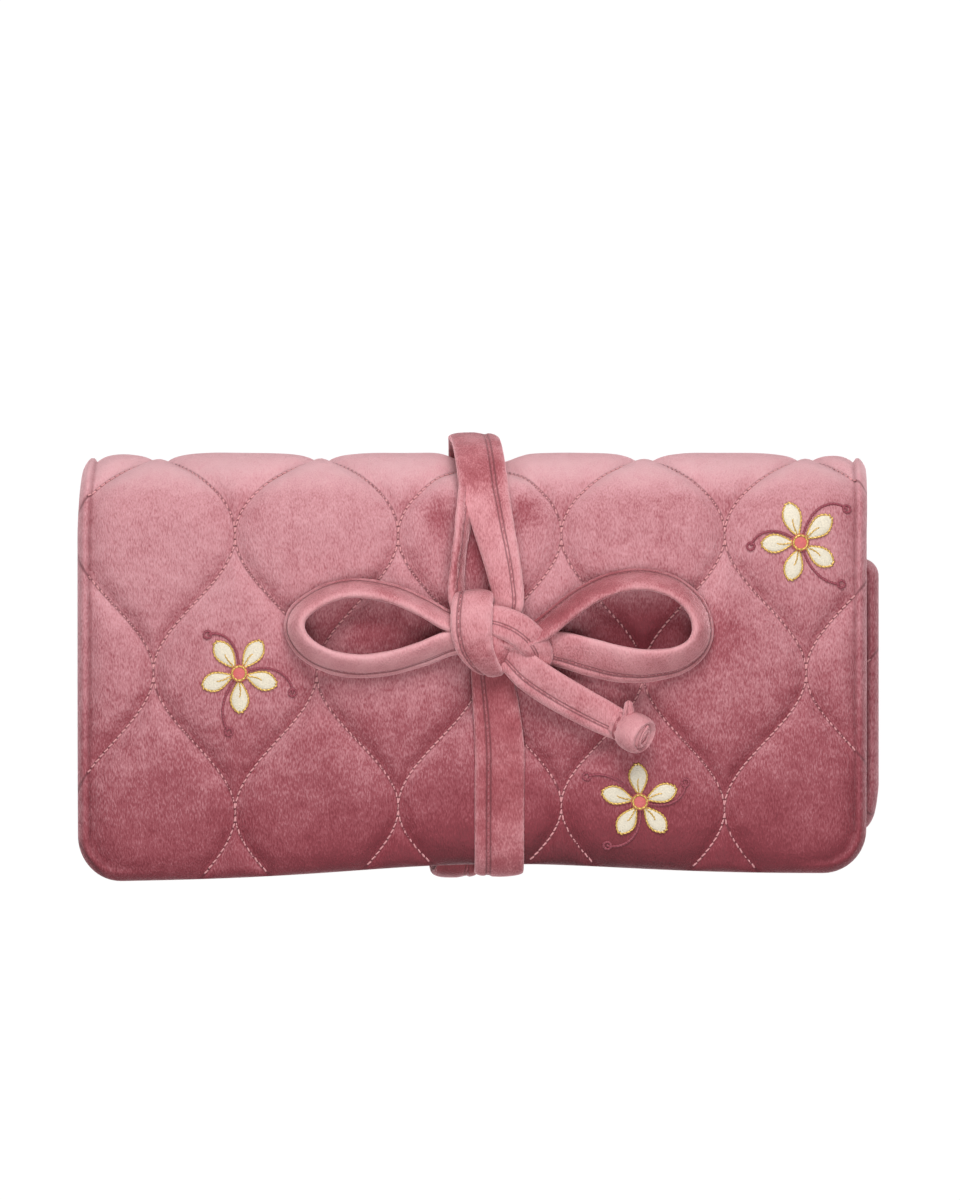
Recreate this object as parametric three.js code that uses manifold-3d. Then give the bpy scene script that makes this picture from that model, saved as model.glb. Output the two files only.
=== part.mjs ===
// A quilted velvet jewellery roll, folded in three and tied with a bow.
// Millimetres, +Z up. It lies on its back panel, with the origin under the middle of the roll:
// +X runs along the roll, +Y points at the spine that the flap folds over.
import * as THREE from "three";
import { mergeVertices } from "three/addons/utils/BufferGeometryUtils.js";
import Module from "manifold-3d";

const wasm = await Module();
wasm.setup();

// Cover: one long quilted panel, folded twice
const panelWidth = 200;
const rolledDepth = 104.5; // from the flap's free edge to the outside of the spine
const foldInset = 9; // the lower fold stops this far short of the flap's free edge
const panelSkew = 1.5; // the flap lies this far left of the back, the lower panel this far right
const cornerRadius = 11; // at the flap's free edge
const tipCornerRadius = 5; // at the lower panel's free edge
const seamThickness = 3.6; // quilt at a sewn line
const puffHeight = 2.9; // crown of a cell above the sewn lines
const crownFlat = 0.5; // how much of each crown is pressed flat

// Quilting: pairs of wavy lines that meet and part, leaving onion-shaped cells
const cellWidth = 41.3;
const rowPitch = 34.85; // from one row of meeting points to the next
const patternAcross = 22.6; // from the panel's middle to a column of meeting points
const patternAlong = 16.05; // from the flap's free edge to its first row of meeting points
const channelReach = 9; // from a sewn line to the full crown
const borderSeam = 3.2; // from the panel's edge to its sewn crease
const borderRoll = 0.35; // the edge's own height, as a share of the crown

// Layers inside
const clearance = 0.3;
const liningThickness = 1;
const liningInset = 2;
const pocketThickness = 1;
const pocketInset = 8;
const pocketCorner = 3;
const jewelleryRoom = 7.5; // free height between the two pockets
const flapSlack = 2.5; // between the lower panel and the flap's lining

// Zips
const zipTapeWidth = 4;
const zipTapeThickness = 0.8;
const zipTeethWidth = 3.2;
const zipTeethHeight = 1.8;
const zipEndInset = 6; // from the pocket's side to the end of the zip
const zipSliderLength = 9;
const zipSliderWidth = 8;
const zipSliderWall = 1.4;
const zipPullLength = 20;
const zipPullWidth = 6;
const zipPullThickness = 1.1;
const zipPegRadius = 1;
const backZipFromBar = 5; // from the ring bar to the back pocket's band
const backBandDepth = 5;
const lowerBandDepth = 6;

// Ring bar
const ringBarDiameter = 12;
const ringBarInset = 36; // from the panel's side to the end of the bar
const ringBarWall = 1.1;
const ringTabLength = 14;
const ringTabWidth = 8;
const ringTabPast = 1; // how far the tabs reach past the bar's axis, towards the spine
const ringTabThickness = 1;
const tipGap = 0.6; // between the lower panel's free edge and the ring bar

// Press stud
const studFlangeRadius = 4;
const studFlangeThickness = 0.7;
const studPostRadius = 1.8;
const studPostHeight = 1.8;
const studCapThickness = 1.4;

// Tie
const tieWidth = 12.5;
const tieThickness = 2.4;
const tieBulge = 5.4; // how far the tie stands off the spine
const tieBackX = -6.8;
const tieFrontX = 5.4;
const tieTopX = -0.7;
const strapLift = 0.1; // the tie's underside above the surface that the roll lies on
const grooveEdge = 0.8; // pressed flat this far past the tie
const grooveSlope = 3; // and rising over this width
const knotSize = [16, 20, 11];
const knotCentre = [1.2, 8];
const tuckSize = [10, 13, 6.4];
const tuckCentre = [42.6, -16.4];

// Heights of the layers, from the surface up
const quiltThickness = seamThickness + puffHeight;
const backLiningBase = quiltThickness + clearance;
const backLiningTop = backLiningBase + liningThickness;
const backPocketBase = backLiningTop + clearance;
const backPocketTop = backPocketBase + pocketThickness;
const lowerPocketBase = backPocketTop + jewelleryRoom;
const lowerPocketTop = lowerPocketBase + pocketThickness;
const lowerLiningBase = lowerPocketTop + clearance;
const lowerPanelTop = lowerLiningBase + liningThickness + clearance + quiltThickness;
const flapLiningBase = lowerPanelTop + flapSlack;
const rollHeight = flapLiningBase + liningThickness + clearance + quiltThickness;

// Folds: the outside of the cover turns round these centres
const spineRadius = rollHeight / 2;
const foldRadius = lowerPanelTop / 2;
const flapEdgeY = -rolledDepth / 2;
const spineCentreY = rolledDepth / 2 - spineRadius;
const foldCentreY = flapEdgeY + foldInset + foldRadius;
const ringBarRadius = ringBarDiameter / 2;
const ringBarLength = panelWidth - 2 * ringBarInset;
const lowerEdgeY = spineCentreY - ringBarRadius - tipGap;

// The cover's outline in the YZ plane, as runs along the fabric from the flap's free edge
const runs = [
  { length: spineCentreY - flapEdgeY, from: [flapEdgeY, rollHeight], turn: Math.PI / 2 },
  {
    length: Math.PI * spineRadius,
    centre: [spineCentreY, spineRadius],
    radius: spineRadius,
    turn: Math.PI / 2,
  },
  { length: spineCentreY - foldCentreY, from: [spineCentreY, 0], turn: -Math.PI / 2 },
  {
    length: Math.PI * foldRadius,
    centre: [foldCentreY, foldRadius],
    radius: foldRadius,
    turn: -Math.PI / 2,
  },
  { length: lowerEdgeY - foldCentreY, from: [foldCentreY, lowerPanelTop], turn: -1.5 * Math.PI },
];
let fabricLength = 0;
for (const run of runs) {
  run.start = fabricLength;
  fabricLength += run.length;
}
const [flapRun, spineRun, backRun, foldRun, lowerRun] = runs;
const skews = [
  [0, -panelSkew],
  [spineRun.start, -panelSkew],
  [backRun.start, 0],
  [foldRun.start, 0],
  [lowerRun.start, panelSkew],
  [fabricLength, panelSkew],
];

const smooth = (t) => THREE.MathUtils.smoothstep(t, 0, 1);
const nearestWhole = (t) => Math.abs(t - Math.round(t));

// Where the fabric is after the length s, and which way its outside faces, in the YZ plane.
function coverAt(s) {
  const run = runs.findLast((r) => s >= r.start) ?? flapRun;
  const along = s - run.start;
  const angle = run.radius ? run.turn - along / run.radius : run.turn;
  const normal = [Math.cos(angle), Math.sin(angle)];
  if (run.radius) {
    return { point: run.centre.map((c, i) => c + run.radius * normal[i]), normal };
  }
  return { point: [run.from[0] + along * normal[1], run.from[1] - along * normal[0]], normal };
}

// How far left or right the panel lies there.
function skewAt(s) {
  const next = Math.max(1, skews.findIndex(([at]) => at >= s));
  const [[s0, x0], [s1, x1]] = [skews[next - 1], skews[next]];
  return x0 + ((x1 - x0) * (s - s0)) / (s1 - s0);
}

// Half the panel's width there, less an inset, with its four corners rounded.
function halfWidthAt(s, inset = 0) {
  const fromEnd = Math.max(0, Math.min(s, fabricLength - s) - inset);
  const radius = (s < fabricLength / 2 ? cornerRadius : tipCornerRadius) - inset;
  const cut = Math.max(0, radius - fromEnd);
  return panelWidth / 2 - inset - radius + Math.sqrt(radius * radius - cut * cut);
}

// The crown's height over the sewn lines, at x from the panel's middle and s along the fabric.
function puffAt(x, s) {
  const row = (s - patternAlong) / rowPitch;
  const sway = (1 - Math.cos(Math.PI * row)) / 4;
  const column = (x - patternAcross) / cellWidth;
  const off = cellWidth * Math.min(nearestWhole(column - sway), nearestWhole(column + sway));
  const slope = (cellWidth / 4) * (Math.PI / rowPitch) * Math.sin(Math.PI * row);
  const fromLine = off / Math.hypot(1, slope);
  const fromEdge = Math.min(halfWidthAt(s) - Math.abs(x), s, fabricLength - s);
  if (fromEdge < borderSeam) {
    return borderRoll * puffHeight * Math.sin((Math.PI * Math.max(0, fromEdge)) / borderSeam);
  }
  const reach = Math.min(fromLine, fromEdge - borderSeam) / channelReach;
  const crown = Math.sqrt(1 - (1 - Math.min(1, reach)) ** 2);
  return Math.min(puffHeight, crown * (puffHeight + crownFlat));
}

// The groove that the slanting tie presses into the underside: its share is 1 under the tie, 0 away from it.
const grooveMiddle = (tieBackX + tieTopX) / 2;
const grooveHalf = tieWidth / 2 + grooveEdge + Math.abs(tieTopX - tieBackX) / 2;
const grooveFloor = strapLift + tieThickness + clearance;
const grooveShare = (x) => 1 - smooth((Math.abs(x - grooveMiddle) - grooveHalf) / grooveSlope);

function meshOf(name, geometry, material) {
  const mesh = new THREE.Mesh(geometry, material);
  mesh.name = name;
  return mesh;
}

function indexed(points, triangles) {
  const geometry = new THREE.BufferGeometry();
  geometry.setAttribute("position", new THREE.Float32BufferAttribute(points.flat(), 3));
  geometry.setIndex(triangles.flat());
  geometry.computeVertexNormals();
  return geometry;
}

// A closed slab that follows the cover: outer(u, s) over a grid, inner(u, s) along its two sides.
function slab(columns, rows, outer, inner) {
  const across = columns.length;
  const points = [];
  const triangles = [];
  rows.forEach((s) => columns.forEach((u) => points.push(outer(u, s))));
  rows.forEach((s) => points.push(inner(-1, s), inner(1, s)));
  const top = (i, j) => i * across + j;
  const under = (i, side) => rows.length * across + 2 * i + side;
  const quad = (a, b, c, d) => triangles.push([a, b, c], [a, c, d]);
  const last = across - 1;
  for (let i = 0; i + 1 < rows.length; i++) {
    for (let j = 0; j < last; j++) quad(top(i, j), top(i, j + 1), top(i + 1, j + 1), top(i + 1, j));
    quad(under(i, 0), under(i + 1, 0), under(i + 1, 1), under(i, 1));
    quad(top(i, 0), top(i + 1, 0), under(i + 1, 0), under(i, 0));
    quad(top(i, last), under(i, 1), under(i + 1, 1), top(i + 1, last));
  }
  const middle = Math.floor(across / 2);
  for (const [i, facing] of [[0, 1], [rows.length - 1, -1]]) {
    const face = (a, b, c) => triangles.push(facing > 0 ? [a, b, c] : [a, c, b]);
    for (let j = 0; j < last; j++) face(top(i, j), under(i, j < middle ? 0 : 1), top(i, j + 1));
    face(top(i, middle), under(i, 0), under(i, 1));
  }
  return indexed(points, triangles);
}

// Evenly spaced values from a to b.
const spread = (a, b, steps) => Array.from({ length: steps + 1 }, (_, i) => a + ((b - a) * i) / steps);

// Values from a to b, closer together over the rounded corners at the fabric's ends.
function rowsAlong(a, b, step) {
  const marks = [a, b];
  for (const corner of [0.03, 0.12, 0.3, 0.6, 1]) {
    marks.push(corner * cornerRadius, fabricLength - corner * tipCornerRadius);
  }
  const kept = marks.filter((s) => s >= a && s <= b).sort((p, q) => p - q);
  return kept.flatMap((s, i) => {
    if (i === 0) return [s];
    const gap = s - kept[i - 1];
    return spread(kept[i - 1], s, Math.max(1, Math.ceil(gap / step))).slice(1);
  });
}

// A stretch of the quilted cover, from s = a to s = b.
function quilt(name, a, b, { cells, step, grooved = false }) {
  const columns = new Set(spread(-1, 1, cells));
  const edges = grooved ? [grooveHalf, grooveHalf + grooveSlope] : [];
  for (const edge of edges.flatMap((reach) => [-reach, reach])) {
    columns.add((grooveMiddle + edge) / (panelWidth / 2));
  }
  const place = (u, s, depth) => {
    const { point, normal } = coverAt(s);
    const x = u * halfWidthAt(s);
    return [x + skewAt(s), point[0] - depth * normal[0], point[1] - depth * normal[1]];
  };
  const outer = (u, s) => {
    const at = place(u, s, puffHeight - puffAt(u * halfWidthAt(s), s));
    if (grooved) at[2] = Math.max(at[2], grooveFloor * grooveShare(at[0]));
    return at;
  };
  const inner = (u, s) => place(u, s, quiltThickness);
  const sorted = [...columns].sort((p, q) => p - q);
  return meshOf(name, slab(sorted, rowsAlong(a, b, step), outer, inner), velvet);
}

// A stretch of the plain lining under the cover.
function lining(name, a, b, step) {
  const place = (depth) => (u, s) => {
    const { point, normal } = coverAt(s);
    const x = u * halfWidthAt(s, liningInset) + skewAt(s);
    return [x, point[0] - depth * normal[0], point[1] - depth * normal[1]];
  };
  const start = Math.max(a, liningInset);
  const end = Math.min(b, fabricLength - liningInset);
  const base = quiltThickness + clearance;
  const rows = rowsAlong(start, end, step);
  return meshOf(name, slab([-1, 1], rows, place(base), place(base + liningThickness)), satin);
}

// A flat plate with rounded corners, lying on z, and any round holes through it.
function plate(x0, x1, y0, y1, z, thickness, corner, holes = []) {
  const radius = Math.min(corner, (x1 - x0) / 3, (y1 - y0) / 3);
  const shape = new THREE.Shape();
  shape.moveTo(x0 + radius, y0);
  shape.lineTo(x1 - radius, y0);
  shape.absarc(x1 - radius, y0 + radius, radius, -Math.PI / 2, 0);
  shape.lineTo(x1, y1 - radius);
  shape.absarc(x1 - radius, y1 - radius, radius, 0, Math.PI / 2);
  shape.lineTo(x0 + radius, y1);
  shape.absarc(x0 + radius, y1 - radius, radius, Math.PI / 2, Math.PI);
  shape.lineTo(x0, y0 + radius);
  shape.absarc(x0 + radius, y0 + radius, radius, Math.PI, 1.5 * Math.PI);
  for (const [x, y, r] of holes) shape.holes.push(new THREE.Path().absarc(x, y, r, 0, 2 * Math.PI, true));
  const curveSegments = holes.length ? 6 : 2;
  const geometry = new THREE.ExtrudeGeometry(shape, { depth: thickness, bevelEnabled: false, curveSegments });
  return geometry.translate(0, 0, z);
}

// Booleans on closed geometry
function toSolid(geometry) {
  const bare = geometry.clone();
  for (const name of Object.keys(bare.attributes)) if (name !== "position") bare.deleteAttribute(name);
  const merged = mergeVertices(bare, 1e-4);
  return new wasm.Manifold(
    new wasm.Mesh({
      numProp: 3,
      vertProperties: merged.attributes.position.array,
      triVerts: new Uint32Array(merged.index.array),
    }),
  );
}

function fromSolid(solid) {
  const { vertProperties, triVerts } = solid.getMesh();
  const geometry = new THREE.BufferGeometry();
  geometry.setAttribute("position", new THREE.Float32BufferAttribute(vertProperties, 3));
  geometry.setIndex([...triVerts]);
  geometry.computeVertexNormals();
  return geometry;
}

// A soft rounded lump, between a ball and a box, that fills a size.
function lump(size, swell = 0) {
  const geometry = new THREE.SphereGeometry(1, 18, 12);
  const position = geometry.attributes.position;
  const round = (v) => Math.sign(v) * Math.abs(v) ** 0.75;
  for (let i = 0; i < position.count; i++) {
    const unit = [position.getX(i), position.getY(i), position.getZ(i)].map(round);
    position.setXYZ(i, ...unit.map((v, k) => v * (size[k] / 2 + swell)));
  }
  return geometry;
}

// The tie's flat tube along route points [x, y, z, width, lean], with cut ends.
// lean is the wide side's angle above level, in degrees, with its inner edge up where a loop has a middle.
function strap(route, steps, middle = null) {
  const curve = new THREE.CatmullRomCurve3(route.map(([x, y, z]) => new THREE.Vector3(x, y, z)));
  const between = (t, k, usual) => {
    const at = t * (route.length - 1);
    const i = Math.min(route.length - 2, Math.floor(at));
    return THREE.MathUtils.lerp(route[i][k] ?? usual, route[i + 1][k] ?? usual, at - i);
  };
  const points = [];
  const triangles = [];
  const flat = tieThickness / 3;
  for (let i = 0; i <= steps; i++) {
    const t = i / steps;
    const centre = curve.getPoint(t);
    const tangent = curve.getTangent(t);
    const lean = THREE.MathUtils.degToRad(between(t, 4, 0));
    const level = new THREE.Vector3(1, 0, 0);
    if (middle) level.set(middle[0] - centre.x, middle[1] - centre.y, 0);
    level.addScaledVector(tangent, -level.dot(tangent)).normalize();
    const rise = new THREE.Vector3().crossVectors(tangent, level);
    if (rise.z < 0) rise.negate();
    const wide = level.multiplyScalar(Math.cos(lean)).addScaledVector(rise, Math.sin(lean));
    const thick = new THREE.Vector3().crossVectors(wide, tangent);
    const half = between(t, 3, tieWidth) / 2;
    const up = tieThickness / 2;
    const ring = [
      [half, -up / 2], [half, up / 2], [half - flat, up], [flat - half, up],
      [-half, up / 2], [-half, -up / 2], [flat - half, -up], [half - flat, -up],
    ];
    for (const [a, b] of ring) {
      points.push(centre.clone().addScaledVector(wide, a).addScaledVector(thick, b).toArray());
    }
  }
  const sides = points.length / (steps + 1);
  for (let i = 0; i < steps; i++) {
    for (let j = 0; j < sides; j++) {
      const [a, b] = [i * sides + j, i * sides + ((j + 1) % sides)];
      triangles.push([a, b, b + sides], [a, b + sides, a + sides]);
    }
  }
  const end = steps * sides;
  for (let j = 1; j + 1 < sides; j++) triangles.push([0, j + 1, j], [end, end + j, end + j + 1]);
  const geometry = indexed(points, triangles);
  if (toSolid(geometry).volume() > 0) return geometry;
  return indexed(points, triangles.map(([a, b, c]) => [a, c, b]));
}

// Finishes
const finish = (colour, roughness, metalness = 0) =>
  new THREE.MeshStandardMaterial({ color: colour, roughness, metalness });
const velvet = finish(0xbb7880, 0.85);
const tieVelvet = finish(0xc28088, 0.85);
const satin = finish(0xd9b3b0, 0.45);
const pocketCloth = finish(0xcf9fa1, 0.6);
const zipCloth = finish(0xb0727a, 0.8);
const gilt = finish(0xd9b36a, 0.3, 1);

const roll = new THREE.Group();

// Cover and lining, cut at the fold lines
const spineQuarter = (spineRadius * Math.PI) / 4;
const foldHalf = (foldRadius * Math.PI) / 2;
const upperHinge = spineRun.start + spineQuarter;
const lowerHinge = spineRun.start + 3 * spineQuarter;
const foldHinge = foldRun.start + foldHalf;
const cut = clearance / 2;
const stretches = [
  ["flap", 0, upperHinge - cut, { cells: 38, step: 4.6 }],
  ["spine", upperHinge + cut, lowerHinge - cut, { cells: 38, step: 4.8 }],
  ["back", lowerHinge + cut, foldRun.start - cut, { cells: 32, step: 5.6, grooved: true }],
  ["back_fold", foldRun.start + cut, foldHinge - cut, { cells: 24, step: 5.2, grooved: true }],
  ["lower_fold", foldHinge + cut, lowerRun.start - cut, { cells: 24, step: 5.2 }],
  ["lower", lowerRun.start + cut, fabricLength, { cells: 28, step: 5.6 }],
];
for (const [name, a, b, detail] of stretches) {
  roll.add(quilt(`${name}_quilt`, a, b, detail), lining(`${name}_lining`, a, b, 7));
}

// Pockets with their zips. Each is built face up, then the lower one is turned to face down.
const zipHalf = panelWidth / 2 - pocketInset - zipEndInset;
const teethHalf = zipTeethWidth / 2;
const zipSeam = zipTapeWidth + teethHalf + 2 * clearance; // from the zip's middle to the cloth beside it
const sliderBase = zipTapeThickness + clearance;
const sliderTop = zipTeethHeight + clearance + zipSliderWall;

function zipSlider(name) {
  const half = zipSliderWidth / 2;
  const slot = teethHalf + clearance;
  const roof = zipTeethHeight + clearance;
  const profile = new THREE.Shape();
  const corners = [
    [-half, sliderBase], [-slot, sliderBase], [-slot, roof], [slot, roof], [slot, sliderBase],
    [half, sliderBase], [half * 0.8, sliderTop], [-half * 0.8, sliderTop],
  ];
  profile.setFromPoints(corners.map(([y, z]) => new THREE.Vector2(y, z)));
  profile.closePath();
  const body = new THREE.ExtrudeGeometry(profile, { depth: zipSliderLength, bevelEnabled: false });
  body.rotateX(Math.PI / 2).rotateZ(Math.PI / 2).translate(-zipSliderLength / 2, 0, 0);
  const pegHeight = zipPullThickness + 2 * clearance + zipSliderWall;
  const peg = new THREE.CylinderGeometry(zipPegRadius, zipPegRadius, pegHeight, 10);
  peg.rotateX(Math.PI / 2).translate(0, 0, sliderTop - zipSliderWall / 2 + pegHeight / 2);
  return meshOf(name, fromSolid(toSolid(body).add(toSolid(peg))), gilt);
}

function zipPull(name) {
  const back = zipPegRadius * 2.5;
  const hole = [0, 0, zipPegRadius + clearance];
  const half = zipPullWidth / 2;
  const front = zipPullLength - back;
  const geometry = plate(-back, front, -half, half, sliderTop + clearance, zipPullThickness, 2, [hole]);
  return meshOf(name, geometry, gilt);
}

// A pocket from y0 to y1 with its zip line at zipY, and its band on the far side of the zip.
function zipPocket(prefix, y0, y1, zipY) {
  const pocket = new THREE.Group();
  const half = panelWidth / 2 - pocketInset;
  const panel = (name, a, b) =>
    meshOf(name, plate(-half, half, a, b, 0, pocketThickness, pocketCorner), pocketCloth);
  const tape = (name, a, b) =>
    meshOf(name, plate(-zipHalf, zipHalf, a, b, 0, zipTapeThickness, zipTapeThickness / 2), zipCloth);
  pocket.add(
    panel(`${prefix}_pocket_lower`, y0, zipY - zipSeam),
    panel(`${prefix}_pocket_upper`, zipY + zipSeam, y1),
    tape(`${prefix}_zip_tape_lower`, zipY - zipSeam + clearance, zipY - teethHalf - clearance),
    tape(`${prefix}_zip_tape_upper`, zipY + teethHalf + clearance, zipY + zipSeam - clearance),
    meshOf(
      `${prefix}_zip_teeth`,
      plate(-zipHalf, zipHalf, zipY - teethHalf, zipY + teethHalf, 0, zipTeethHeight, teethHalf * 0.6),
      gilt,
    ),
  );
  const runner = new THREE.Group();
  runner.add(zipSlider(`${prefix}_zip_slider`), zipPull(`${prefix}_zip_pull`));
  runner.position.set(zipSliderLength - zipHalf, zipY, 0);
  pocket.add(runner);
  return pocket;
}

const backPocketEndY = spineCentreY - ringBarRadius - backZipFromBar;
const backPocket = zipPocket("back", foldCentreY, backPocketEndY, backPocketEndY - backBandDepth - zipSeam);
backPocket.position.z = backPocketBase;
const lowerPocketEndY = lowerEdgeY - pocketInset / 2;
const lowerZipY = -foldCentreY - lowerBandDepth - zipSeam;
const lowerPocket = zipPocket("lower", -lowerPocketEndY, -foldCentreY, lowerZipY);
lowerPocket.rotation.x = Math.PI;
lowerPocket.position.set(panelSkew, 0, lowerPocketTop);
roll.add(backPocket, lowerPocket);

// Ring bar: a padded tube that lifts at one end, held down at the other by a press stud
const ringBar = new THREE.Group();
ringBar.position.set(0, spineCentreY, backLiningTop + clearance);
const roundSides = 16;
const barShape = new THREE.Shape().absarc(0, 0, ringBarRadius, 0, 2 * Math.PI);
barShape.holes.push(new THREE.Path().absarc(0, 0, ringBarRadius - ringBarWall, 0, 2 * Math.PI, true));
const barSize = { depth: ringBarLength, bevelEnabled: false, curveSegments: roundSides };
const barCover = new THREE.ExtrudeGeometry(barShape, barSize);
barCover.rotateY(Math.PI / 2).translate(-ringBarLength / 2, 0, ringBarRadius);
const coreRadius = ringBarRadius - ringBarWall - clearance;
const barCore = new THREE.CylinderGeometry(coreRadius, coreRadius, ringBarLength, roundSides);
barCore.rotateZ(Math.PI / 2).translate(0, 0, ringBarRadius);
const tabStart = ringBarLength / 2 + clearance;
const tabEnd = tabStart + ringTabLength;
const tabSouth = ringTabPast - ringTabWidth;
const studX = tabEnd - ringTabWidth / 2;
const studY = ringTabPast - ringTabWidth / 2;
const snapTabBase = studFlangeThickness + clearance;
const snapTabTop = snapTabBase + ringTabThickness;
const postTop = snapTabTop + clearance + studPostHeight / 3;
const tabHole = [studX, studY, studPostRadius + 2 * clearance];
const turned = (profile) => {
  const points = profile.map(([r, z]) => new THREE.Vector2(r, z));
  return new THREE.LatheGeometry(points, roundSides).rotateX(Math.PI / 2).translate(studX, studY, 0);
};
const stud = turned([
  [0, 0], [studFlangeRadius, 0], [studFlangeRadius, studFlangeThickness],
  [studPostRadius, studFlangeThickness], [studPostRadius, postTop], [0, postTop],
]);
const capBase = snapTabTop + clearance;
const capTop = capBase + studCapThickness;
const recess = postTop + clearance;
const cap = turned([
  [0, recess], [studPostRadius + clearance, recess], [studPostRadius + clearance, capBase],
  [studFlangeRadius, capBase], [studFlangeRadius * 0.8, capTop], [0, capTop],
]);
const tab = (name, x0, x1, z, holes) =>
  meshOf(name, plate(x0, x1, tabSouth, ringTabPast, z, ringTabThickness, ringTabThickness, holes), velvet);
ringBar.add(
  meshOf("ring_bar_cover", barCover, velvet),
  meshOf("ring_bar_core", barCore, satin),
  tab("ring_bar_hinge_tab", -tabEnd, -tabStart, 0, []),
  tab("ring_bar_snap_tab", tabStart, tabEnd, snapTabBase, [tabHole]),
  meshOf("snap_stud", stud, gilt),
  meshOf("snap_cap", cap, gilt),
);
roll.add(ringBar);

// Tie: one velvet band round the roll, knotted in a bow on the flap
const tieRise = tieThickness / 2;
const tieTopZ = rollHeight + clearance + tieRise;
const tieUnderZ = strapLift + tieRise;
const tieSouthY = flapEdgeY - clearance - tieRise;
const hingeReach = spineRadius * Math.SQRT1_2;
const hingeY = spineCentreY + hingeReach;
const leanHeight = (lean) => {
  const angle = THREE.MathUtils.degToRad(lean);
  return rollHeight + clearance + (tieWidth / 2) * Math.sin(angle) + tieRise * Math.cos(angle);
};

// Round the spine the tie stands off, most at the middle.
const spineLimit = THREE.MathUtils.degToRad(37);
const tieRoundSpine = spread(-spineLimit, spineLimit, 6).map((angle) => {
  const off = tieBulge * Math.cos((Math.PI / 2) * (angle / spineLimit));
  const radius = spineRadius + clearance + tieRise + off;
  return [tieTopX, spineCentreY + radius * Math.cos(angle), spineRadius + radius * Math.sin(angle)];
});

// From under the flap's edge, round the lower fold, and slanting along the back to the spine.
const slantStartY = tieSouthY + 18;
const slantEndY = hingeY - 0.6;
const slantX = (y) => THREE.MathUtils.mapLinear(y, slantStartY, slantEndY, tieBackX, tieTopX);
const tieUnder = [
  [tieBackX + 3, tieSouthY, flapLiningBase - 2],
  [tieBackX + 1.5, tieSouthY + 0.3, rollHeight / 2],
  [tieBackX + 0.5, tieSouthY + 2.2, rollHeight / 4],
  [tieBackX, tieSouthY + 6.5, tieUnderZ + 1.2],
  [tieBackX, tieSouthY + 12, tieUnderZ + 0.25],
  [tieBackX, slantStartY, tieUnderZ],
  [slantX(0), 0, tieUnderZ],
  [slantX(spineCentreY), spineCentreY, tieUnderZ],
  [tieTopX, slantEndY, tieUnderZ],
];

// From the knot, down the front and over the flap's free edge.
const tieFront = [
  [2, 5, tieTopZ, 8],
  [3.6, -6, tieTopZ, 10.5],
  [tieFrontX, -18, tieTopZ],
  [tieFrontX, flapEdgeY + 8, tieTopZ],
  [tieFrontX, flapEdgeY + 2, tieTopZ - 0.2],
  [tieFrontX - 0.3, tieSouthY + 0.5, rollHeight - 1],
  [tieFrontX - 0.8, tieSouthY, rollHeight - 4],
  [tieFrontX - 2, tieSouthY, flapLiningBase],
];

// Two strands run from the knot to the spine, side by side at the knot and parting above it.
const tieRight = [
  [0, hingeY - 1.4, tieTopZ - 0.9, 9],
  [1.6, hingeY - 5, tieTopZ + 0.3, 8],
  [4.2, 36, tieTopZ, 7],
  [5, 31, tieTopZ, 7.4],
  [5.6, 26, tieTopZ, 8.4],
  [7, 14, tieTopZ, 7.8],
];
const tieLeft = [
  [-2.6, hingeY - 9, tieTopZ, 3.4],
  [-3.4, 33, tieTopZ, 4.2],
  [-5, 26, tieTopZ, 4.8],
  [-3.4, 14, tieTopZ, 6],
];

// Bow: two loops that lean in, and a tail that lies over the right loop's lower side.
const loopLean = 50;
const loopZ = leanHeight(loopLean);
const leftMiddle = [-28, 9];
const leftLoop = [
  [-1, 9.5, loopZ + 1, 7, 40], [-9, 11.4, loopZ, 7.5, loopLean], [-17.2, 17, loopZ, 10.5, loopLean],
  [-24.7, 19.6, loopZ, tieWidth, loopLean], [-32.3, 19.6, loopZ, tieWidth, loopLean],
  [-39.9, 17.8, loopZ, tieWidth, loopLean], [-44.9, 14, loopZ, tieWidth, loopLean],
  [-46.7, 9.5, loopZ, tieWidth, loopLean], [-44.9, 4.4, loopZ, tieWidth, loopLean],
  [-39.9, 0.6, loopZ, tieWidth, loopLean], [-32.3, -0.9, loopZ, tieWidth, loopLean],
  [-24.7, -0.1, loopZ, tieWidth, loopLean], [-17.2, 1.3, loopZ, 10.5, loopLean],
  [-9, 3.4, loopZ - 0.4, 7.5, loopLean], [-1, 5, loopZ - 1, 7, 40],
];
const rightMiddle = [37, 9.5];
const rightLoop = [
  [3, 9, loopZ + 2, 7, 40], [11, 9.6, loopZ + 2, 7, loopLean], [16.4, 12.4, loopZ + 1, 8, loopLean],
  [22, 16.4, loopZ, 10.5, loopLean], [28.3, 19.6, loopZ, tieWidth, loopLean],
  [35.9, 21.8, loopZ, tieWidth, loopLean], [43.4, 21.3, loopZ, tieWidth, loopLean],
  [51, 17.8, loopZ, tieWidth, loopLean], [56.1, 11.5, loopZ, tieWidth, loopLean],
  [56.8, 4.4, loopZ - 0.6, tieWidth, 45], [53.5, -0.1, leanHeight(35), tieWidth, 35],
  [46, -1.9, leanHeight(22), tieWidth, 22], [35.9, -1.1, leanHeight(10), tieWidth, 10],
  [25.8, 1.9, tieTopZ, 10, 0], [16.5, 4.2, tieTopZ + 0.8, 7, 0], [4, 6, tieTopZ + 2.5, 6, 0],
];
const tail = [
  [4, 5, tieTopZ + 6.2, 7], [12.5, 1, tieTopZ + 6, 8], [20.7, -3.9, tieTopZ + 5.2, 11.5],
  [28.3, -7.6, tieTopZ + 4.4, tieWidth], [35.9, -11.7, tieTopZ + 3.4, tieWidth], [42, -15.6, tieTopZ + 2, 10],
];

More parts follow.
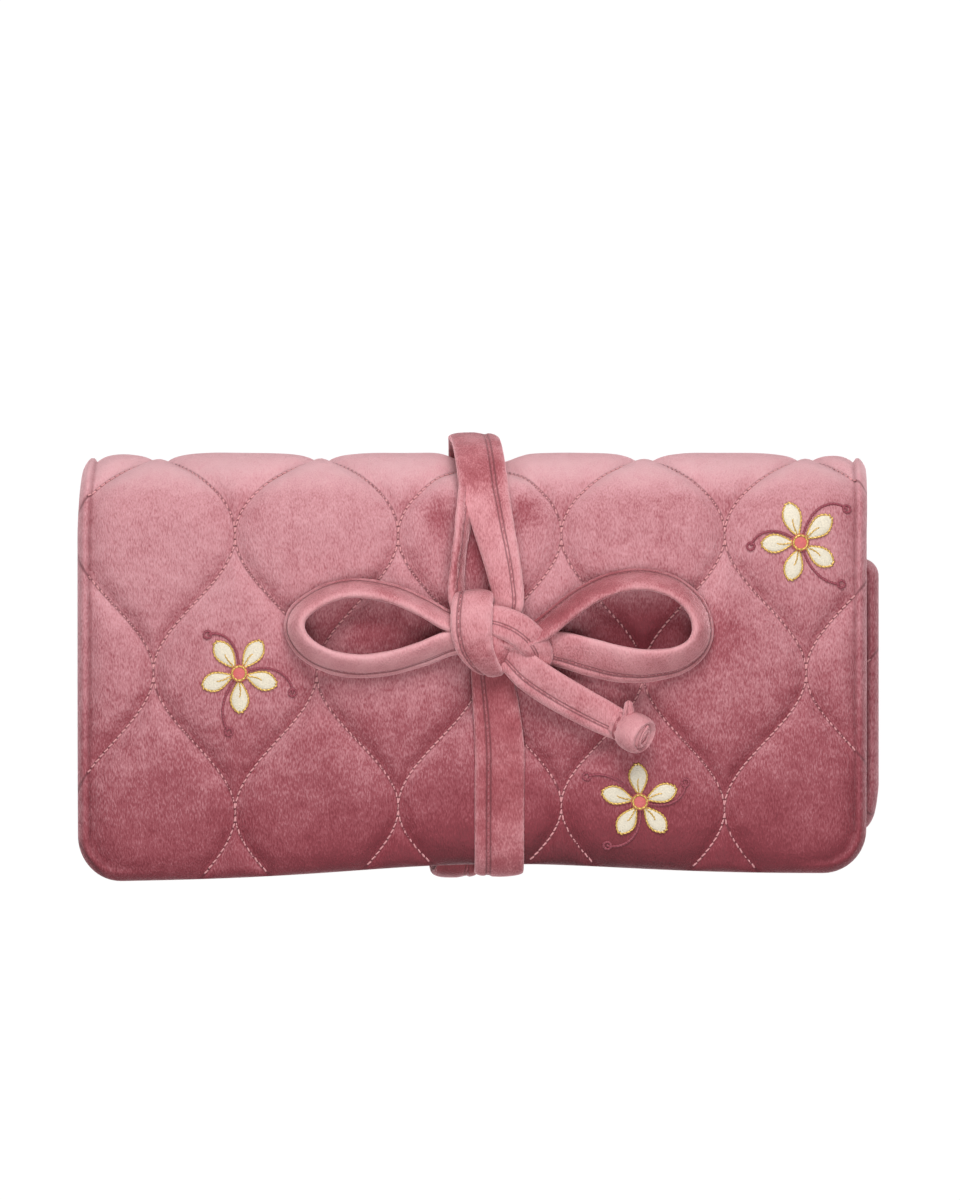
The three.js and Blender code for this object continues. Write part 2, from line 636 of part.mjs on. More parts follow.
const bowBase = rollHeight + clearance;
const knot = (swell) => lump(knotSize, swell).translate(...knotCentre, bowBase + knotSize[2] / 2);
const tuck = (swell) =>
  lump(tuckSize, swell).rotateZ(-0.6).translate(...tuckCentre, bowBase + tuckSize[2] / 2);
const bowRoom = toSolid(knot(clearance)).add(toSolid(tuck(clearance)));

// What is left of a strap outside the knot and the gathered end of the tail.
function tiePiece(name, route, steps, middle) {
  const left = toSolid(strap(route, steps, middle)).subtract(bowRoom).decompose();
  left.sort((a, b) => b.volume() - a.volume());
  return meshOf(name, fromSolid(left[0]), tieVelvet);
}

roll.add(
  tiePiece("tie_back_strand", tieUnder, 22),
  tiePiece("tie_spine_strand", tieRoundSpine, 10),
  tiePiece("tie_front_strand", tieFront, 20),
  tiePiece("tie_upper_right_strand", tieRight, 12),
  tiePiece("tie_upper_left_strand", tieLeft, 9),
  tiePiece("bow_left_loop", leftLoop, 30, leftMiddle),
  tiePiece("bow_right_loop", rightLoop, 32, rightMiddle),
  tiePiece("bow_tail", tail, 12),
  meshOf("bow_knot", knot(0), tieVelvet),
  meshOf("bow_tail_tuck", tuck(0), tieVelvet),
);

export default roll;
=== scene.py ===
"""Looks of a quilted velvet jewellery roll tied with a bow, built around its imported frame.

Sizes and places are millimetres in the roll's frame: +X along the roll, +Y towards its spine, +Z up.
Meshes are made in metres.
"""

import logging
import math
from dataclasses import dataclass, field
from enum import Enum

import bpy
import numpy as np
from numpy.typing import NDArray
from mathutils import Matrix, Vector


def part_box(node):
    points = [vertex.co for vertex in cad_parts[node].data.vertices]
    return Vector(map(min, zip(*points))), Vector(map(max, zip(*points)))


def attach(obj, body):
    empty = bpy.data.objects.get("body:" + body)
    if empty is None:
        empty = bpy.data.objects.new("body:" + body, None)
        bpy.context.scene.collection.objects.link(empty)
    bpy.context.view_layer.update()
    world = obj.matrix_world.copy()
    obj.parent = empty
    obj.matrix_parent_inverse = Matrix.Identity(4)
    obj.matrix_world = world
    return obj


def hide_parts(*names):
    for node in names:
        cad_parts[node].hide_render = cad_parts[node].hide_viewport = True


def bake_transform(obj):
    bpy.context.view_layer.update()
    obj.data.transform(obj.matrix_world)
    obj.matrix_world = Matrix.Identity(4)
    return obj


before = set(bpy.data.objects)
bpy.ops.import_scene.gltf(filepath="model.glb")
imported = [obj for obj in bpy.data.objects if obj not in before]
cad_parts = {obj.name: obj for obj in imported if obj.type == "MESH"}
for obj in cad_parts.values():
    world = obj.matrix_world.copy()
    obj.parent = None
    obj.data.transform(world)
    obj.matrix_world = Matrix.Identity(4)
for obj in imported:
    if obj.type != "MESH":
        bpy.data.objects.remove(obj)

Array = NDArray[np.float64]
Colour = tuple[float, float, float]
Point = tuple[float, float, float]
Route = list[tuple[float, ...]]
Material = bpy.types.Material
Socket = bpy.types.NodeSocket
Piece = bpy.types.Object

MM = 0.001
WHITE = (1.0, 1.0, 1.0)
EAST = np.array([1.0, 0.0, 0.0])
UP = np.array([0.0, 0.0, 1.0])
# Added to cloth coordinates where no sewn line shows.
NO_SEAM = 5000.0
# The tie's width where it lies flat.
FULL_BAND = 12.5
# Corners sharper than this many degrees stay hard.
HARD_CORNER = 75.0
# Points closer together than this are one point.
SAME_PLACE = 1e-3
log = logging.getLogger("jewellery_roll")


class Body(str, Enum):
    """The bodies that the pieces move with."""

    BACK = "back"
    SPINE = "spine"
    FLAP = "flap"
    LOWER = "lower"
    RING_BAR = "ring_bar"


class Slot(str, Enum):
    """The record's finishes."""

    COVER = "cover_velvet"
    TIE = "tie_velvet"
    LINING = "lining_satin"
    POCKET = "pocket_cloth"
    ZIP = "zip_cloth"
    METAL = "gilt_metal"


class Lay(Enum):
    """Which way a band's wide side points before it leans."""

    ACROSS = "along +X"
    LEFT = "left of its path, level"
    RIGHT = "right of its path, level"


# Shader graphs


@dataclass(frozen=True)
class Value:
    """A shader number that takes part in Python arithmetic."""

    graph: "Graph"
    socket: Socket

    def __add__(self, other: "Value | float") -> "Value":
        """Adds."""
        return self.graph.maths("ADD", self, other)

    __radd__ = __add__

    def __sub__(self, other: "Value | float") -> "Value":
        """Subtracts."""
        return self.graph.maths("SUBTRACT", self, other)

    def __rsub__(self, other: "Value | float") -> "Value":
        """Subtracts from a number."""
        return self.graph.maths("SUBTRACT", other, self)

    def __mul__(self, other: "Value | float") -> "Value":
        """Multiplies."""
        return self.graph.maths("MULTIPLY", self, other)

    __rmul__ = __mul__

    def __truediv__(self, other: "Value | float") -> "Value":
        """Divides."""
        return self.graph.maths("DIVIDE", self, other)

    def __abs__(self) -> "Value":
        """The size without its sign."""
        return self.graph.maths("ABSOLUTE", self, 0.0)

    def apply(self, operation: str, other: "Value | float" = 0.0) -> "Value":
        """Any other operation of the Math node."""
        return self.graph.maths(operation, self, other)

    def held(self, low: float = 0.0, high: float = 1.0) -> "Value":
        """The number kept between two limits."""
        return self.apply("MAXIMUM", low).apply("MINIMUM", high)

    def ramp(self, start: float, over: float, low: float = 0.0, high: float = 1.0) -> "Value":
        """A rise from 0 at a place to 1 at a distance past it, in millimetres, kept between limits."""
        return ((self - start * MM) / (over * MM)).held(low, high)


class Graph:
    """One material's shader graph, with its surface shader ready."""

    def __init__(self, name: str) -> None:
        """Makes the material.

        Args:
            name: the material's name.
        """
        self.material = bpy.data.materials.new(name)
        self.material.use_nodes = True
        self.tree = self.material.node_tree
        self.surface = self.tree.nodes["Principled BSDF"]

    def node(self, kind: str, settings: dict | None = None, inputs: dict | None = None) -> bpy.types.Node:
        """Adds a node.

        Args:
            kind: the node's type.
            settings: properties of the node, set first.
            inputs: sockets by name or index, each a Value, a socket or a constant.

        Returns:
            The node.
        """
        made = self.tree.nodes.new(kind)
        for key, setting in (settings or {}).items():
            setattr(made, key, setting)
        for key, given in (inputs or {}).items():
            self.feed(made.inputs[key], given)
        return made

    def feed(self, target: Socket, given: object) -> None:
        """Links a value or socket to a socket, or sets it to a constant.

        Args:
            target: the socket to feed.
            given: a Value, a socket or a constant, such as a number or a Colour.
        """
        source = given.socket if isinstance(given, Value) else given
        if isinstance(source, Socket):
            self.tree.links.new(source, target)
        else:
            target.default_value = (*source, 1.0) if target.type == "RGBA" else source

    def maths(self, operation: str, first: Value | float, second: Value | float) -> Value:
        """The number that a Math node works out from two others."""
        made = self.node("ShaderNodeMath", {"operation": operation}, {0: first, 1: second})
        return Value(self, made.outputs[0])

    def place(self) -> Socket:
        """The piece's own coordinates, in metres."""
        return self.node("ShaderNodeTexCoord").outputs["Object"]

    def fabric(self) -> tuple[Value, Value]:
        """The cloth's own coordinates, from its UV map.

        Returns:
            Distances across and along the cloth, in metres.
        """
        uv = self.node("ShaderNodeUVMap", {"uv_map": "fabric"})
        parts = self.node("ShaderNodeSeparateXYZ", None, {0: uv.outputs[0]})
        return Value(self, parts.outputs[0]), Value(self, parts.outputs[1])

    def lean(self) -> Value:
        """The piece's own attribute of painted light and shade, which lightens or darkens its colour."""
        return Value(self, self.node("ShaderNodeAttribute", {"attribute_name": "painted_light"}).outputs["Fac"])

    def noise(self, where: Socket, scale: float, detail: float = 2.0) -> Value:
        """Soft noise from 0 to 1, with its features per metre and its octaves."""
        made = self.node("ShaderNodeTexNoise", None, {"Vector": where, "Scale": scale, "Detail": detail})
        return Value(self, made.outputs[0])

    def mix(self, share: Value, first: Colour | Socket, second: Colour) -> Socket:
        """A colour part of the way from one to another, by a share from 0 to 1."""
        return self.node("ShaderNodeMix", {"data_type": "RGBA"}, {0: share, 6: first, 7: second}).outputs[2]

    def bump(self, height: Value, depth: float, strength: float = 0.5) -> None:
        """Feeds a height, scaled to a depth in millimetres, to the surface's normal."""
        inputs = {"Height": height, "Distance": depth * MM, "Strength": strength}
        self.dress(normal=self.node("ShaderNodeBump", None, inputs).outputs[0])

    def dress(self, **sockets: object) -> None:
        """Feeds sockets of the surface shader.

        Args:
            **sockets: what each is fed, with words_joined standing for the socket Words Joined.
        """
        for key, given in sockets.items():
            name = key.replace("_", " ").title().replace("Ior", "IOR")
            self.feed(self.surface.inputs[name], given)


# Finishes


def mixed(colour: Colour, other: Colour, share: float) -> Colour:
    """A colour part of the way to another."""
    return tuple((1 - share) * a + share * b for a, b in zip(colour, other))


def scaled(colour: Colour, by: float) -> Colour:
    """A colour made lighter or darker."""
    return tuple(min(1.0, by * part) for part in colour)


def deepened(colour: Colour, power: float) -> Colour:
    """A colour made darker and fuller."""
    return tuple(part**power for part in colour)


@dataclass(frozen=True)
class Quilting:
    """Sewn lines in pairs that meet and part, leaving onion-shaped cells."""

    cell_width: float = 41.3
    row_pitch: float = 34.85
    across: float = 22.6
    along: float = 16.05
    joining_power: float = 4.0

    @property
    def steepest(self) -> float:
        """A line's greatest sideways run per length of cloth."""
        return math.pi * self.cell_width / (4 * self.row_pitch)

    def line_sway(self, s: Array) -> Array:
        """How far a line has swung from its first column, in cells, after the length s of cloth."""
        return (1 - np.cos(np.pi * (s - self.along) / self.row_pitch)) / 4

    def line_slope(self, s: Array) -> Array:
        """A line's sideways run per length of cloth."""
        return self.steepest * np.sin(np.pi * (s - self.along) / self.row_pitch)

    def off_lines(self, x: Array, s: Array) -> tuple[Array, Array]:
        """How far places are from the nearest line of each family, straight across.

        The two families of lines are x = across + cell_width (n + sway(s)) and the same with - sway(s).

        Args:
            x: places across.
            s: places along.

        Returns:
            The distances from each family's lines, in cells.
        """
        column = (x - self.across) / self.cell_width
        offs = (column - self.line_sway(s), column + self.line_sway(s))
        first, second = (np.abs(off - np.round(off)) for off in offs)
        return first, second

    def distance(self, x: Array, s: Array) -> Array:
        """Distance to the nearest sewn line.

        The two families' distances join in a power mean, so the middle of a cell has no crease.

        Args:
            x: places across.
            s: places along.

        Returns:
            The distances.
        """
        squeeze = self.cell_width / np.hypot(1, self.line_slope(s))
        first, second = (squeeze * off + 1e-6 for off in self.off_lines(x, s))
        power = self.joining_power
        return (first**-power + second**-power) ** (-1 / power)

    def slope_at(self, x: Array, s: Array) -> Array:
        """The nearest sewn line's sideways run per length of cloth, with its sign."""
        first, second = self.off_lines(x, s)
        return np.where(first < second, 1, -1) * self.line_slope(s)


@dataclass(frozen=True)
class Border:
    """The crease sewn inside the cover's outline, firm along its sides and soft along its free edge."""

    inset: float = 3.2
    side_start: float = 80.0
    side_over: float = 16.0
    softest: float = 0.1
    free_depth: float = 14.0
    free_over: float = 10.0

    def firm(self, x: Array, s: Array) -> Array:
        """How firmly the edge is creased, from 0 to 1."""
        at_side = np.clip((np.abs(x) - self.side_start) / self.side_over, self.softest, 1)
        return np.maximum(at_side, np.clip((s - self.free_depth) / self.free_over, 0, 1))


class Seam(Enum):
    """What is sewn through a velvet piece, drawn as creases of painted shade by its material."""

    NONE = "plain pile"
    QUILTED = "the quilting's lines and the border's crease"
    BAND = "a double line along a band"


@dataclass(frozen=True)
class Velvet:
    """Short-pile velvet: dark and pale by random pile strokes and brushed patches, and by painted light and
    shade.

    A crease of painted shade has its strength and the level that its colour is darkened to.
    """

    name: str
    pile: Colour
    seam: Seam = Seam.NONE
    sheen: float = 0.75
    bloom: float = 0.22
    patches: tuple[float, float] = (90.0, 0.3)
    cloth: "Fabric | None" = None
    stroke_scale: float = 3000.0
    stroke_slant: Point = (0.0, 0.3, 0.8)
    stroke_stretch: Point = (1.0, 0.36, 1.0)
    stroke_share: float = 1.1
    brushed_scale: float = 330.0
    brushed_share: float = 0.4
    deep_power: float = 1.3
    deep_level: float = 0.82
    brightest: float = 1.28
    pale_above: float = 0.3
    darkest_below: float = 0.05
    darkest_level: float = 0.3
    gloss_tint: Colour = (1.0, 0.74, 0.78)
    sheen_tint: Colour = (1.0, 0.62, 0.66)
    # Strength and darkening of the painted shade in the quilted and the band's sewn creases.
    quilt_crease: tuple[float, float] = (0.7, 0.4)
    band_crease: tuple[float, float] = (0.8, 0.35)
    line_half: float = 0.45
    crease_half: float = 0.9
    double_line_off: float = 0.5
    double_line_half: float = 0.42

    def material(self) -> Material:
        """Makes the material: pile strokes and brushed patches, painted light and shade, and painted shade
        in the creases where it is sewn.

        Returns:
            The material.
        """
        graph = Graph(self.name)
        where = graph.place()
        turned = {"Vector": where, "Rotation": self.stroke_slant, "Scale": self.stroke_stretch}
        strokes = graph.noise(graph.node("ShaderNodeMapping", None, turned).outputs[0], self.stroke_scale)
        brushed = graph.noise(where, self.brushed_scale)
        patch_scale, patch_share = self.patches
        patch = graph.noise(where, patch_scale, 1.0)
        share = 0.5 + self.stroke_share * (strokes - 0.5) + self.brushed_share * (brushed - 0.5)
        share = share + patch_share * (patch - 0.5)
        if self.seam is not Seam.NONE:
            share = share + self.painted_light(graph)
        # Deep to pale pile: random strokes and patches move the colour between them, and so do the painted
        # light and shade.
        deep = deepened(self.pile, self.deep_power)
        full = scaled(mixed(self.pile, WHITE, 0.3 * self.bloom), self.brightest)
        pale = scaled(mixed(self.pile, WHITE, self.bloom), self.brightest)
        colour = graph.mix(share.held(), scaled(deep, self.deep_level), full)
        colour = graph.mix((share - self.pale_above).held(), colour, pale)
        # The darkest pile, reached in random dark strokes and in painted shadows.
        colour = graph.mix((self.darkest_below - share).held(), colour, scaled(deep, self.darkest_level))
        # Painted shade down the sewn creases.
        if self.seam is Seam.QUILTED:
            strength, level = self.quilt_crease
            colour = graph.mix(strength * self.quilted(graph), colour, self.crease_shade(level))
        if self.seam is Seam.BAND:
            strength, level = self.band_crease
            colour = graph.mix(strength * self.double_line(graph), colour, self.crease_shade(level))
        graph.dress(base_color=colour, roughness=0.54 + 0.2 * strokes)
        graph.dress(specular_ior_level=0.5, specular_tint=self.gloss_tint)
        graph.dress(sheen_weight=self.sheen, sheen_roughness=0.36, sheen_tint=self.sheen_tint)
        graph.bump(strokes + 0.5 * brushed, 0.6, 0.55)
        return graph.material

    def crease_shade(self, by: float) -> Colour:
        """Painted shade down a crease: the pile's colour made darker by a factor."""
        return deepened(scaled(self.pile, by), 1.2)

    def painted_light(self, graph: Graph) -> Value:
        """Painted light and shade: how much paler or darker the pile is drawn.

        The piece's own attribute gives its painted light and shade, and a quilted piece is also painted
        lighter from the flap's edge up to the spine, with a painted highlight over the spine, painted shade
        past it on the back and lower panel, and darker towards +X.

        Args:
            graph: the material's graph.

        Returns:
            What the painted light and shade add to the share of pale pile.
        """
        # The piece's own painted light and shade.
        lean = graph.lean()
        if self.seam is Seam.BAND:
            return 0.55 * lean
        across, along = graph.fabric()
        # Painted light and shade on the cover: lighter up the flap, a painted highlight over the spine,
        # painted shade on the back and lower panel, darker towards +X.
        lighter_up_flap = 0.38 * along.ramp(54, 50, -1.0, 0.4)
        spine_highlight = 0.62 * along.ramp(94, 10)
        back_shade = 0.8 * along.ramp(150, 20)
        return lighter_up_flap + spine_highlight - back_shade - 0.6 * across + 0.5 * lean

    def quilted(self, graph: Graph) -> Value:
        """Painted shade in the creases of the quilting and of the border, by the formulas that shape the
        cover.

        Args:
            graph: the material's graph.

        Returns:
            A mask, 1 on a crease and 0 away from it.
        """
        quilting, border = Quilting(), Border()
        x, s = graph.fabric()
        turn = (s - quilting.along * MM) * (math.pi / (quilting.row_pitch * MM))
        sway = (1 - turn.apply("COSINE")) * 0.25
        slope = turn.apply("SINE") * quilting.steepest
        column = (x - quilting.across * MM) / (quilting.cell_width * MM)
        first, second = (abs(off - off.apply("ROUND")) for off in (column - sway, column + sway))
        off_line = first.apply("MINIMUM", second) * (quilting.cell_width * MM)
        off_line = off_line / (1 + slope * slope).apply("SQRT")
        lines = (1.15 - off_line / (self.line_half * MM)).held()
        corner = self.cloth.corner * MM
        over_x = abs(x) - (self.cloth.width / 2 * MM - corner)
        over_s = corner - s.apply("MINIMUM", self.cloth.length * MM - s)
        past_x, past_s = over_x.apply("MAXIMUM"), over_s.apply("MAXIMUM")
        past = (past_x * past_x + past_s * past_s).apply("SQRT")
        edge = corner - past - over_x.apply("MAXIMUM", over_s).apply("MINIMUM")
        crease = (1 - abs(edge - border.inset * MM) / (self.crease_half * MM)).held()
        at_side = abs(x).ramp(border.side_start, border.side_over, border.softest)
        firm = at_side.apply("MAXIMUM", s.ramp(border.free_depth, border.free_over))
        return lines.apply("MAXIMUM", 0.6 * crease * firm)

    def double_line(self, graph: Graph) -> Value:
        """A mask of two lines of painted shade beside a band's sewn groove, where its first cloth coordinate
        is 0.
        """
        off_line = abs(abs(graph.fabric()[0]) - self.double_line_off * MM)
        return (1 - off_line / (self.double_line_half * MM)).held()


@dataclass(frozen=True)
class Weave:
    """Plain woven or satin cloth."""

    name: str
    yarn: Colour
    pitch: float = 0.45
    roughness: float = 0.6
    sheen: float = 0.15
    cloud_scale: float = 60.0

    def material(self) -> Material:
        """Makes the material: crossing yarns as sine ridges on the cloth's own coordinates.

        Returns:
            The material.
        """
        graph = Graph(self.name)
        across, along = graph.fabric()
        turns = 2 * math.pi / (self.pitch * MM)
        ridges = (across * turns).apply("SINE") * (along * turns).apply("SINE")
        cloudy = graph.noise(graph.place(), self.cloud_scale)
        share = (0.5 + 0.3 * ridges + 0.5 * (cloudy - 0.5)).held()
        colour = graph.mix(share, scaled(self.yarn, 0.84), scaled(self.yarn, 1.12))
        graph.dress(base_color=colour, roughness=self.roughness + 0.15 * (cloudy - 0.5))
        graph.dress(specular_ior_level=0.3, sheen_weight=self.sheen, sheen_roughness=0.4)
        graph.bump(ridges, 0.12)
        return graph.material


@dataclass(frozen=True)
class Thread:
    """Sewing or embroidery thread with a fine twist, and painted shade at each stitch's ends, where it
    enters the cloth.
    """

    name: str
    strand: Colour
    gloss: float = 0.45
    metal: float = 0.0
    hole_shade: Colour | None = None
    twist_scale: float = 2600.0

    def material(self) -> Material:
        """Makes the material: fine noise stands for the twist, in colour, gloss and relief.

        Returns:
            The material.
        """
        graph = Graph(self.name)
        twist = graph.noise(graph.place(), self.twist_scale, 1.0)
        colour = graph.mix(twist, scaled(self.strand, 0.72), scaled(self.strand, 1.2))
        # Painted shade at each stitch's ends, where it dips into the cloth.
        if self.hole_shade:
            colour = graph.mix(1 - graph.lean(), colour, self.hole_shade)
        graph.dress(base_color=colour, roughness=self.gloss + 0.2 * twist)
        graph.dress(metallic=self.metal, specular_ior_level=0.4, sheen_weight=0.1)
        graph.bump(twist, 0.2)
        return graph.material


@dataclass(frozen=True)
class Gilt:
    """Polished gilt metal with fine handling marks."""

    name: str
    colour: Colour = (0.78, 0.52, 0.2)
    smear_scale: float = 240.0
    scratch_scale: float = 2200.0

    def material(self) -> Material:
        """Makes the material: a bright metal whose gloss varies in soft smears.

        Returns:
            The material.
        """
        graph = Graph(self.name)
        where = graph.place()
        smear = graph.noise(where, self.smear_scale, 3.0)
        colour = graph.mix(smear, scaled(self.colour, 0.9), self.colour)
        graph.dress(base_color=colour, roughness=0.16 + 0.16 * smear, metallic=1.0)
        graph.bump(graph.noise(where, self.scratch_scale, 1.0), 0.02, 0.3)
        return graph.material


# Mesh building


@dataclass
class Shape:
    """Points and faces of one surface, in millimetres.

    It may have cloth coordinates, and its painted light and shade, which lighten or darken its colour.
    """

    points: Array
    faces: list[tuple[int, ...]] | NDArray[np.int64]
    fabric: Array | None = None
    painted_light: Array | None = None

    def outward(self) -> "Shape":
        """Turns the faces round if the closed surface's volume is negative.

        Returns:
            The shape itself.
        """
        triangles = np.array([(f[0], f[i], f[i + 1]) for f in self.faces for i in range(1, len(f) - 1)])
        a, b, c = (self.points[triangles[:, k]] for k in range(3))
        if np.einsum("ij,ij->", a, np.cross(b, c)) < 0:
            self.faces = [tuple(face[::-1]) for face in self.faces]
        return self


def grid_faces(rows: int, columns: int, closed: bool = False, flip: bool = False) -> NDArray[np.int64]:
    """Four-sided faces of a grid of points.

    Args:
        rows: rows of points.
        columns: points in a row.
        closed: whether each row joins up with its own start.
        flip: whether the faces point the other way.

    Returns:
        One row of four point numbers per face.
    """
    last = columns if closed else columns - 1
    i, j = np.meshgrid(np.arange(rows - 1), np.arange(last), indexing="ij")
    k = (j + 1) % columns
    here, ahead = i * columns, (i + 1) * columns
    quads = np.stack([here + j, here + k, ahead + k, ahead + j], axis=-1).reshape(-1, 4)
    return quads[:, ::-1] if flip else quads


def tube(rings: Array, fabric: Array | None = None) -> Shape:
    """A closed tube through rings of points, with flat ends.

    Args:
        rings: points by ring and by place round the ring.
        fabric: cloth coordinates in the same order.

    Returns:
        The shape, facing outwards.
    """
    count, around, _ = rings.shape
    faces = [tuple(face) for face in grid_faces(count, around, closed=True)]
    faces.append(tuple(range(around))[::-1])
    faces.append(tuple(range((count - 1) * around, count * around)))
    flat = None if fabric is None else fabric.reshape(-1, 2)
    return Shape(rings.reshape(-1, 3), faces, flat).outward()


def sandwich(over: Array, under: Array, across: Array, along: Array) -> Shape:
    """A closed body between two grids of points.

    Walls join the grids along their outline, and where they meet there they share their points.

    Args:
        over: the grid that faces out.
        under: the grid behind it, of the same rows and columns.
        across: the first cloth coordinate at the grids' places.
        along: the second.

    Returns:
        The shape, with the first grid's points before the other's.
    """
    rows, columns, _ = over.shape
    count = rows * columns
    points = np.vstack([over.reshape(-1, 3), under.reshape(-1, 3)])
    grid = np.arange(count).reshape(rows, columns)
    outline = np.concatenate([grid[0, :-1], grid[:-1, -1], grid[-1, :0:-1], grid[:0:-1, 0]])
    ahead = np.roll(outline, -1)
    walls = np.stack([outline, outline + count, ahead + count, ahead], axis=1)
    faces = np.vstack([grid_faces(rows, columns), grid_faces(rows, columns, flip=True) + count, walls])
    meeting = outline[np.linalg.norm(points[outline] - points[outline + count], axis=1) < SAME_PLACE]
    shared = np.arange(2 * count)
    shared[meeting + count] = meeting
    distinct = [tuple(dict.fromkeys(face)) for face in shared[faces].tolist()]
    cloth = np.stack([across, along], axis=-1).reshape(-1, 2)
    return Shape(points, [face for face in distinct if len(face) > 2], np.vstack([cloth, cloth]))


def quarter_round(distance: Array, width: float) -> Array:
    """A rise from 0 at an edge to 1 at a width from it, as a quarter of a circle."""
    return np.sqrt(1 - (1 - np.clip(distance / width, 0, 1)) ** 2)


def all_round(count: int) -> Array:
    """Even angles round a full turn."""
    return np.linspace(0, 2 * np.pi, count, endpoint=False)


def run_length(places: Array) -> Array:
    """How far along a line each of its points is."""
    return np.concatenate([[0.0], np.cumsum(np.linalg.norm(np.diff(places, axis=0), axis=1))])


def make_piece(name: str, parts: list[tuple[Shape, Material]]) -> Piece:
    """Makes one smooth-shaded object from shapes with a material each.

    Args:
        name: the piece's name.
        parts: shapes and their materials.

    Returns:
        The object, at the origin.
    """
    mesh = bpy.data.meshes.new(name)
    points, faces, cloth, lie, finishes = ([] for _ in range(5))
    for index, (shape, material) in enumerate(parts):
        start = len(points)
        points.extend((shape.points * MM).tolist())
        faces.extend([tuple(int(i) + start for i in face) for face in shape.faces])
        fabric = shape.points[:, :2] + NO_SEAM if shape.fabric is None else shape.fabric
        cloth.extend((fabric * MM).tolist())
        # Each point's painted light and shade, kept as an attribute that the materials read.
        lie.extend([0.0] * len(shape.points) if shape.painted_light is None else shape.painted_light.tolist())
        finishes.extend([index] * len(shape.faces))
        mesh.materials.append(material)
    mesh.from_pydata(points, [], faces)
    mesh.polygons.foreach_set("material_index", finishes)
    mesh.polygons.foreach_set("use_smooth", [True] * len(faces))
    corners = np.empty(len(mesh.loops), dtype=np.int64)
    mesh.loops.foreach_get("vertex_index", corners)
    layer = mesh.uv_layers.new(name="fabric")
    layer.data.foreach_set("uv", np.array(cloth)[corners].ravel())
    mesh.attributes.new("painted_light", "FLOAT", "POINT").data.foreach_set("value", lie)
    mesh.validate()
    mesh.update()
    mesh.set_sharp_from_angle(angle=math.radians(HARD_CORNER))
    piece = bpy.data.objects.new(name, mesh)
    bpy.context.scene.collection.objects.link(piece)
    log.info("%s: %d faces", name, len(faces))
    return piece


def carry(piece: Piece, body: Body, *nodes: str) -> None:
    """Puts a piece on a body, in the place of frame nodes."""
    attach(piece, body.value)
    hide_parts(*nodes)


def smooth_path(route: Array, step: float) -> tuple[Array, Array]:
    """A smooth curve through route points, evenly stepped.

    Between two points it is a cubic whose slopes come from the neighbours, weighted by the square
    root of their distances. The other columns of the route are carried along linearly.

    Args:
        route: rows of x, y, z and any further values.
        step: distance between the points returned.

    Returns:
        The points, and the further values at each.
    """
    places, extras = route[:, :3], route[:, 3:]
    gaps = np.sqrt(np.linalg.norm(np.diff(places, axis=0), axis=1))
    knots = np.concatenate([[0.0], np.cumsum(gaps)])
    chords = np.diff(places, axis=0) / gaps[:, None]
    slopes = np.empty_like(places)
    slopes[0], slopes[-1] = chords[0], chords[-1]
    before, after = gaps[:-1, None], gaps[1:, None]
    slopes[1:-1] = (chords[:-1] * after + chords[1:] * before) / (before + after)
    fine = np.linspace(0, knots[-1], 40 * len(places))
    cell = np.clip(np.searchsorted(knots, fine, side="right") - 1, 0, len(gaps) - 1)
    width = gaps[cell][:, None]
    t = ((fine - knots[cell]) / gaps[cell])[:, None]
    curve = (
        (2 * t**3 - 3 * t**2 + 1) * places[cell]
        + (t**3 - 2 * t**2 + t) * width * slopes[cell]
        + (3 * t**2 - 2 * t**3) * places[cell + 1]
        + (t**3 - t**2) * width * slopes[cell + 1]
    )
    lengths = run_length(curve)
    even = np.linspace(0, lengths[-1], max(3, int(lengths[-1] / step) + 1))
    points = np.stack([np.interp(even, lengths, column) for column in curve.T], axis=1)
    at = np.interp(even, lengths, fine)
    return points, np.stack([np.interp(at, knots, column) for column in extras.T], axis=1)


def signed_power(values: Array, power: float) -> Array:
    """The values raised to a power, each with its own sign."""
    return np.sign(values) * np.abs(values) ** power


def unit(vectors: Array) -> Array:
    """The vectors, each made one long."""
    return vectors / np.maximum(np.linalg.norm(vectors, axis=-1, keepdims=True), 1e-9)


def spindle_faces(count: int) -> NDArray[np.int64]:
    """Faces of closed bodies, each of four rings of six points.

    Args:
        count: how many bodies.

    Returns:
        Four point numbers for each face of each body.
    """
    ends = [[0, 1, 2, 3], [0, 3, 4, 5], [23, 22, 21, 20], [23, 20, 19, 18]]
    one = np.vstack([grid_faces(4, 6, closed=True, flip=True), ends])
    return one[None] + 24 * np.arange(count)[:, None, None]


